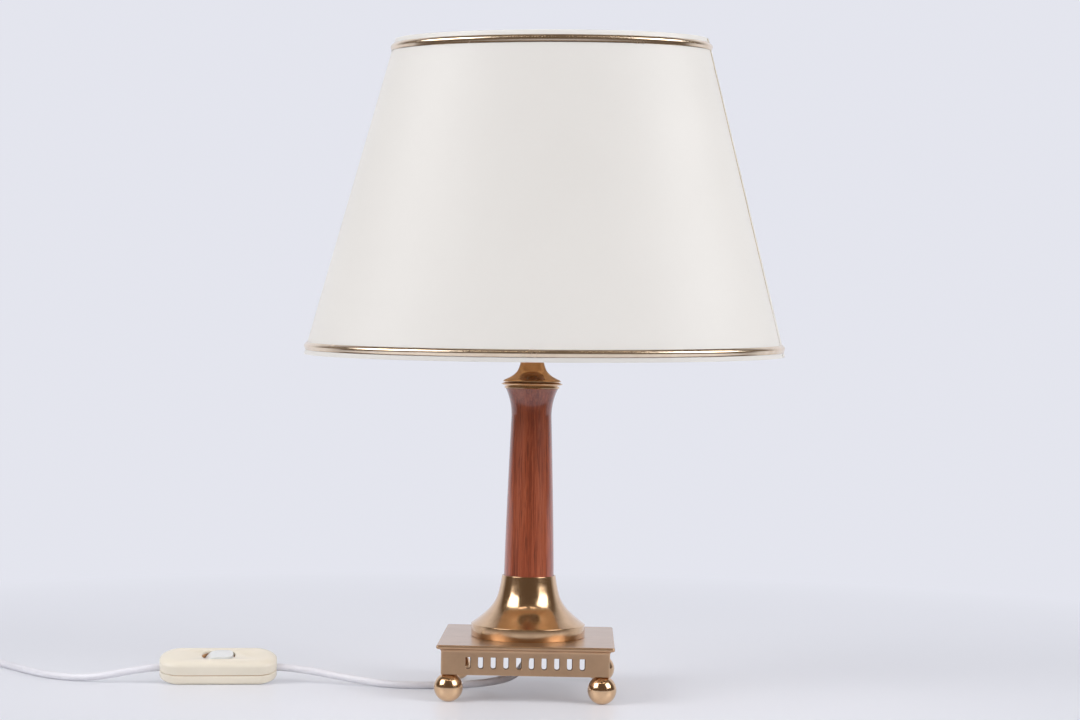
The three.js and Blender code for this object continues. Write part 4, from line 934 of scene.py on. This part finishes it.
def make_carrier():
    """A ring between the holder's two rings, with arms up to the shade's top wire."""
    bore, outer = HOLDER_RADIUS + 0.3, HOLDER_RADIUS + 5.8
    low, high = RING_BOTTOM + 4, RING_BOTTOM + 6.5
    parts = [soft_ring([(bore, low), (outer, low), (outer, high), (bore, high)], 0.5, 64)]
    height = (low + high) / 2
    for i in range(4):
        angle = pi / 4 + pi / 2 * i
        way = Vector((cos(angle), sin(angle), 0))
        line = ((outer - 1.1, height), (28.2, height), (36.2, height + 5))
        at = [way * out + Vector((0, 0, z)) for out, z in line]
        end = SHADE @ Vector(shade_point(SHADE_HEIGHT + SHADE_RIM / 2, angle, -5.7))
        parts.append(swept(rounded_path([*at, at[2].lerp(end, 0.12), end], 4), circle(1.1, 10)))
    piece("carrier_wire", merged(*parts), "steel", "shade", ["shade_carrier"])


# In-line switch

def switch_ring(inset, z):
    """Outline of the body, with z up from its parting line. Its ends draw in faster than its sides."""
    length, width = SWITCH_LENGTH - 4.6 * inset, SWITCH_WIDTH - 2 * inset
    return level(rectangle(length, width, SWITCH_CORNER - inset, 14), z)


def edge(radius, face, way):
    """Outlines of a rounded edge between the sides and a flat face."""
    turn = [share * pi / 2 for share in evenly(10)]
    return [switch_ring(radius * (1 - cos(a)), face - way * radius * (1 - sin(a))) for a in turn]


def stadium_tool(length, width, corner, levels):
    return loft([level(rectangle(length + 2 * grow, width + 2 * grow, corner + grow, 8), z)
                 for z, grow in levels])


def cord_tool():
    return moved(prism(circle(CORD_HOLE, 32), -60, 60), rotation(90, "Y"))


def make_switch_shells():
    """Two hollow halves that leave a joint between them, and a lip that shows in it, tan as painted shade in
    the joint.
    """
    top, bottom = SWITCH_TOP, SWITCH_BOTTOM
    outside = loft([switch_ring(0.3, 0.5), switch_ring(0, 0.85), *edge(SWITCH_TOP_EDGE, top, 1)])
    inside = loft([switch_ring(1.8, -1), switch_ring(1.8, top - SWITCH_TOP_EDGE),
                   switch_ring(SWITCH_TOP_EDGE, top - 1.8)])
    opening = stadium_tool(24.2, 12.7, 5.75, [(top - 4, 0), (top - 0.7, 0), (top - 0.2, 0.15),
                                              (top + 0.02, 0.5), (top + 1, 0.5)])
    upper = cut(outside, inside, opening, cord_tool())
    piece("switch_upper", upper, "ivory_plastic", replaces=["switch_upper_shell"], at=SWITCH, angle=40)
    outside = loft([*reversed(edge(3, bottom, -1)), switch_ring(0, -0.35), switch_ring(0.25, 0)])
    inside = loft([switch_ring(3, bottom + 1.8), switch_ring(1.8, bottom + 3), switch_ring(1.8, 1)])
    well = stadium_tool(5.4, 5.4, 2.65, [(bottom - 1, 0.2), (bottom + 1.2, 0)])
    wells = [moved(well, translation(side * SWITCH_SCREW_REACH, 0, 0)) for side in (-1, 1)]
    lower = cut(outside, inside, merged(*wells), cord_tool())
    piece("switch_lower", lower, "ivory_plastic", replaces=["switch_lower_shell"], at=SWITCH, angle=40)
    section = ((0.62, -1.2), (0.62, 1.4), (1.7, 1.4), (1.7, -1.2))
    lip = loft([switch_ring(inset, z) for inset, z in section], joined=True)
    piece("switch_lip", cut(lip, cord_tool()), "ivory_plastic", at=SWITCH, finish=RECESS_SHADE)


def make_rocker():
    """Its ends lie on an arc about the pin, and its top is a low roof that is sunk on the left."""
    reach, width = 11.5, 11.5

    def end_arc(high):
        low = -asin(2.4 / reach)
        turn = [low + (high - low) * i / 12 for i in range(13)]
        return [(reach * cos(a), reach * sin(a)) for a in turn]

    right, left = [*end_arc(0), (11.48, 2), (11.35, 3.7)], end_arc(radians(9))
    top = spline([(11.0, 4.15), (7, 4.98), (3.2, 5.7), (0, 6.2), (-2.6, 6.28), (-4.6, 5.85), (-6.8, 4.5),
                  (-9, 2.9), (-11.1, 2.0)], 5)
    outline = [*right, *top, *[(-x, z) for x, z in reversed(left)]]
    section = ((-1, 0.6), (-0.96, 0.2), (-0.88, 0), (0.88, 0), (0.96, 0.2), (1, 0.6))
    body = loft([[(x, y * width / 2, z - (inset if z > 3 else 0)) for x, z in outline]
                 for y, inset in section])
    plan = prism(rectangle(2 * reach, width, 5.15, 10), -20, 20)
    around = prism(rectangle(60, 60, 1, 1), -19, 19)
    at = SWITCH @ translation(0, 0, PIVOT) @ rotation(-ROCKER_TILT, "Y")
    piece("rocker_white", cut(body, cut(around, plan)), "white_plastic", "rocker", ["switch_rocker"], at)


def make_switch_insides():
    """The recess round the rocker, tan as painted shade, and the two screws below."""
    floor, low = -0.1, SWITCH_BOTTOM
    well = stadium_tool(23.8, 12.3, 5.55, [(floor, 0), (floor + 0.5, 0)])
    wall = cut(stadium_tool(26.6, 15.1, 6.9, [(floor + 0.5, 0), (SWITCH_TOP - 2, 0)]),
               stadium_tool(24.3, 12.8, 5.8, [(floor, 0), (SWITCH_TOP, 0)]))
    piece("recess_wall", wall, "ivory_plastic", at=SWITCH, finish=RECESS_SHADE)
    piece("recess_floor", well, "ivory_plastic", at=SWITCH, finish=RECESS_SHADE)
    head = [(0, low + 0.1), (2.4, low + 0.1), (2.4, low + 1), (0, low + 1)]
    slot = prism(rectangle(6, 0.7, 0.1, 2), low - 0.5, low + 0.6)
    for side, name in ((-1, "left"), (1, "right")):
        at = SWITCH @ translation(side * SWITCH_SCREW_REACH, 0, 0)
        piece(f"screw_{name}", cut(lathe(rounded(head, 0.3), 32), slot), "steel",
              replaces=[f"switch_screw_{name}"], at=at)


# Tie round the coil

def make_tie():
    middle = COIL_RADIUS - COIL_PITCH * COIL_TURNS / 2
    wide, tall = COIL_PITCH * COIL_TURNS + 2 * CORD_RADIUS + 1.2, 4 * CORD_RADIUS + 0.9
    band = []
    for inset, y in ((0, 2.2), (0, -2.2), (0.7, -2.2), (0.7, 2.2)):
        outline = rectangle(wide + 1.6 - 2 * inset, tall + 0.2 - 2 * inset, 2.6 - inset, 6)
        band.append([(x, y, z) for x, z in outline])
    at = translation(*COIL_CENTRE, 0) @ rotation(225, "Z")
    at = at @ translation(middle, 0, tall / 2 + 0.15)
    knot = [(0, -7, 6.0), (1, -4, 6.3), (0, 0, 6.7), (-1, 4, 6.3), (0.5, 7.5, 5.9)]
    return [piece("tie_band", loft(band, joined=True), "black_plastic", at=at),
            piece("tie_ends", swept(knot, rectangle(2.6, 0.7, 0.3, 3)), "black_plastic", at=at)]


# Plug

def make_plug():
    shares = [(0, 10.2, 10.2, 4.2), (0.02, 10.8, 10.8, 4.4), (0.22, 11.4, 11.2, 4.6), (0.4, 17.5, 12.6, 4.8),
              (0.56, 24.8, 13.5, 4.6), (0.64, 26.1, 13.7, 4.4), (0.74, 26.1, 13.7, 4.4),
              (0.8, 27.6, 13.7, 4.4), (0.9, 34.8, 13.7, 4.4), (0.93, 35.3, 13.7, 4.4),
              (0.985, 35.3, 13.7, 4.4), (1, 34.5, 12.9, 4.0)]
    rings = [[(BOOT_LENGTH + share * PLUG_LENGTH, y, z) for y, z in rectangle(wide, thick, corner, 8)]
             for share, wide, thick, corner in shares]
    body = piece("plug_moulded", loft(rings), "white_plastic", replaces=["plug_body"], at=PLUG, angle=40)
    ribs, z = [], 0.0
    while z < BOOT_LENGTH - 1:
        wide = 3.8 + 1.2 * z / BOOT_LENGTH
        ribs += [(wide, z), (wide, z + 1.6), (wide - 0.55, z + 1.9), (wide - 0.55, z + 2.5)]
        z += 2.75
    bore, end = CORD_RADIUS + 0.05, BOOT_LENGTH - 0.3
    boot = lathe([(bore, 0), *ribs, (5, end), (bore, end)], 40, closed=True)
    turn = rotation(90, "Y")
    sleeve = piece("plug_sleeve", boot, "white_plastic", replaces=["plug_boot"], at=PLUG @ turn)
    made = [body, sleeve]
    face = BOOT_LENGTH + PLUG_LENGTH
    tip = face + 18.5
    pin = lathe(rounded([(0, face - 5), (1.9, face - 5), (1.9, tip, 1.4), (0, tip)], 0.2, 5), 32)
    cover = [(1.85, face), (2.2, face), (2.2, face + 9.5, 0.2), (1.85, face + 9.5)]
    for side, name in ((1, "left"), (-1, "right")):
        at = PLUG @ translation(0, side * 9.3, 0) @ turn
        made += [piece(f"pin_{name}", pin, "steel", replaces=[f"plug_pin_{name}"], at=at),
                 piece(f"pin_cover_{name}", soft_ring(cover, 0.05, 32, 2), "black_plastic", at=at)]
    return made


make_base_plate()
make_base_skirt()
make_feet()
make_clamping()
make_bell()
make_column()
make_cap()
make_holder()
make_bulb()
make_shade()
make_seam()
make_carrier()
make_switch_shells()
make_rocker()
make_switch_insides()
on_cord = [*make_tie(), *make_plug()]
on_cord += [bpy.data.objects[name] for name in ("switch_upper", "switch_lower", "switch_lip", "recess_wall",
                                                "recess_floor", "rocker_white")]

# The rigid pieces inside the switch keep their solids
for name, node in frame["nodes"].items():
    if not node.hide_render:
        slot = next(s["material_slot"] for s in frame["record"]["subparts"] if s["node"] == name)
        node.data.materials.clear()
        node.data.materials.append(FINISHES[slot])


# Floor, background and light

STUDIO = (0.775, 0.785, 0.855)
ROOM = (0.12, 0.09, 0.065)
FLOOR_RADIUS = 6.0


def make_floor():
    """Paper that takes the lamp's shadow, lightened near the lamp by painted light and darkened towards the
    front by painted shade, and to eyes and mirrors has the studio's colour further away.
    """
    mesh = as_mesh("studio_floor", lathe([(0, 0), (0.4, 0), (0.8, 0), (1.6, 0), (FLOOR_RADIUS, 0)], 64))
    paper = Finish("studio_paper", (0.78, 0.785, 0.835), 0.34, Specular_IOR_Level=0.35)
    mottle = paper.noise(3, 2, 0.5)
    sheet = paper.blend(mottle, (0.782, 0.787, 0.823), (0.768, 0.773, 0.81))
    away = paper.add("VectorMath", {"_0": paper.place}, operation="LENGTH")["Value"]
    back = paper.add("SeparateXYZ", {"Vector": paper.place})["Y"]
    # Painted shade: the paper darkens away from the lamp, soonest towards the front
    near_corner = paper.math("SUBTRACT", away, paper.math("MULTIPLY", back, 0.8))
    front_painted_shade = paper.blend(paper.span(near_corner, 0.26, 0.52), sheet, (0.70, 0.705, 0.74))
    paper.put(paper.surface, Base_Color=front_painted_shade)
    room = paper.math("MULTIPLY", paper.span(away, 0.58, 0.68), paper.span(back, 0.15, -0.05))
    path = paper.add("LightPath")
    dark = paper.math("MULTIPLY", room, path["Is Glossy Ray"])
    seen = paper.math("MAXIMUM", path["Is Camera Ray"], path["Is Glossy Ray"])
    seen = paper.math("MAXIMUM", seen, path["Is Transmission Ray"])
    # Painted light: near the lamp a quarter of what eyes and mirrors see is the plain studio colour, which
    # lightens the lamp's shadow; from 0.9 m out it is all studio colour
    share = paper.math("MULTIPLY", paper.span(away, 0.3, 0.9, 0.25, 1.0), seen)
    share = paper.math("MAXIMUM", share, dark)
    plain = paper.add("Emission", {"Color": paper.blend(dark, STUDIO, ROOM)})[0]
    inputs = {"_0": share, "_1": paper.surface.outputs[0], "_2": plain}
    mix = paper.add("MixShader", inputs)[0]
    paper.put(paper.tree.nodes["Material Output"], Surface=mix)
    mesh.materials.append(paper.material)
    placed("studio_floor", mesh)


def softbox(name, azimuth, elevation, far, size, power, roll=0.0, color=(1, 1, 1), spread=180.0,
            mirrored=True, lights=True):
    """Lamp aimed at the object, with azimuth 0 in front. Without lights only mirrors show it."""
    azimuth, elevation = radians(azimuth), radians(elevation)
    aim = Vector((0, 0, 0.2))
    flat = cos(elevation)
    at = aim + far * Vector((sin(azimuth) * flat, -cos(azimuth) * flat, sin(elevation)))
    data = bpy.data.lights.new(name, "AREA")
    data.shape = "RECTANGLE"
    data.size, data.size_y = size
    data.energy = power
    data.color = color
    data.spread = radians(spread)
    light = placed(name, data)
    turn = (aim - at).to_track_quat("-Z", "Y") @ Quaternion((0, 0, 1), radians(roll))
    light.location = at
    light.rotation_euler = turn.to_euler()
    light.visible_camera = False
    light.visible_glossy = mirrored
    light.visible_diffuse = lights


def make_world():
    """Even soft light, with a dark warm room in front and above for the metal to mirror."""
    world = bpy.data.worlds.new("studio")
    bpy.context.scene.world = world
    sky = Nodes(world)
    path = sky.add("LightPath")
    generated = sky.add("TexCoord")["Generated"]
    way = sky.add("SeparateXYZ", {"Vector": generated})
    behind = sky.math("SUBTRACT", way["Y"], sky.span(way["Z"], 0.8, 0.95))
    paper_seen = sky.math("MAXIMUM", sky.span(behind, 0.3, 0.62), path["Is Camera Ray"])
    seen = sky.math("MAXIMUM", path["Is Camera Ray"], path["Is Glossy Ray"])
    color = sky.blend(seen, STUDIO, sky.blend(paper_seen, ROOM, STUDIO))
    sky.put(sky.tree.nodes["Background"], Color=color, Strength=sky.span(seen, 0, 1, 0.45, 1.0))


def make_light():
    softbox("softbox_left", -61, 29, 1.8, (1.1, 1.25), 4.35, roll=22, spread=70, mirrored=False)
    softbox("panel_left", -61, 33, 1.8, (1.1, 1.15), 3.5, roll=22, spread=70, lights=False)
    softbox("softbox_right", 61, 26, 1.8, (1.1, 1.4), 4.7, spread=70, mirrored=False)
    softbox("panel_right", 61, 31.5, 1.8, (1.1, 1.2), 3.5, spread=70, lights=False)
    softbox("overhead", 180, 84, 1.7, (1.4, 1.4), 4, mirrored=False)
    warm = (1.0, 0.86, 0.72)
    softbox("bar_left", -27, 58, 1.6, (0.62, 0.05), 0.5, color=warm)
    softbox("bar_right", 28, 58, 1.6, (0.6, 0.05), 0.5, color=warm)
    make_world()


make_floor()
make_light()
bpy.context.scene.view_settings.view_transform = "Standard"
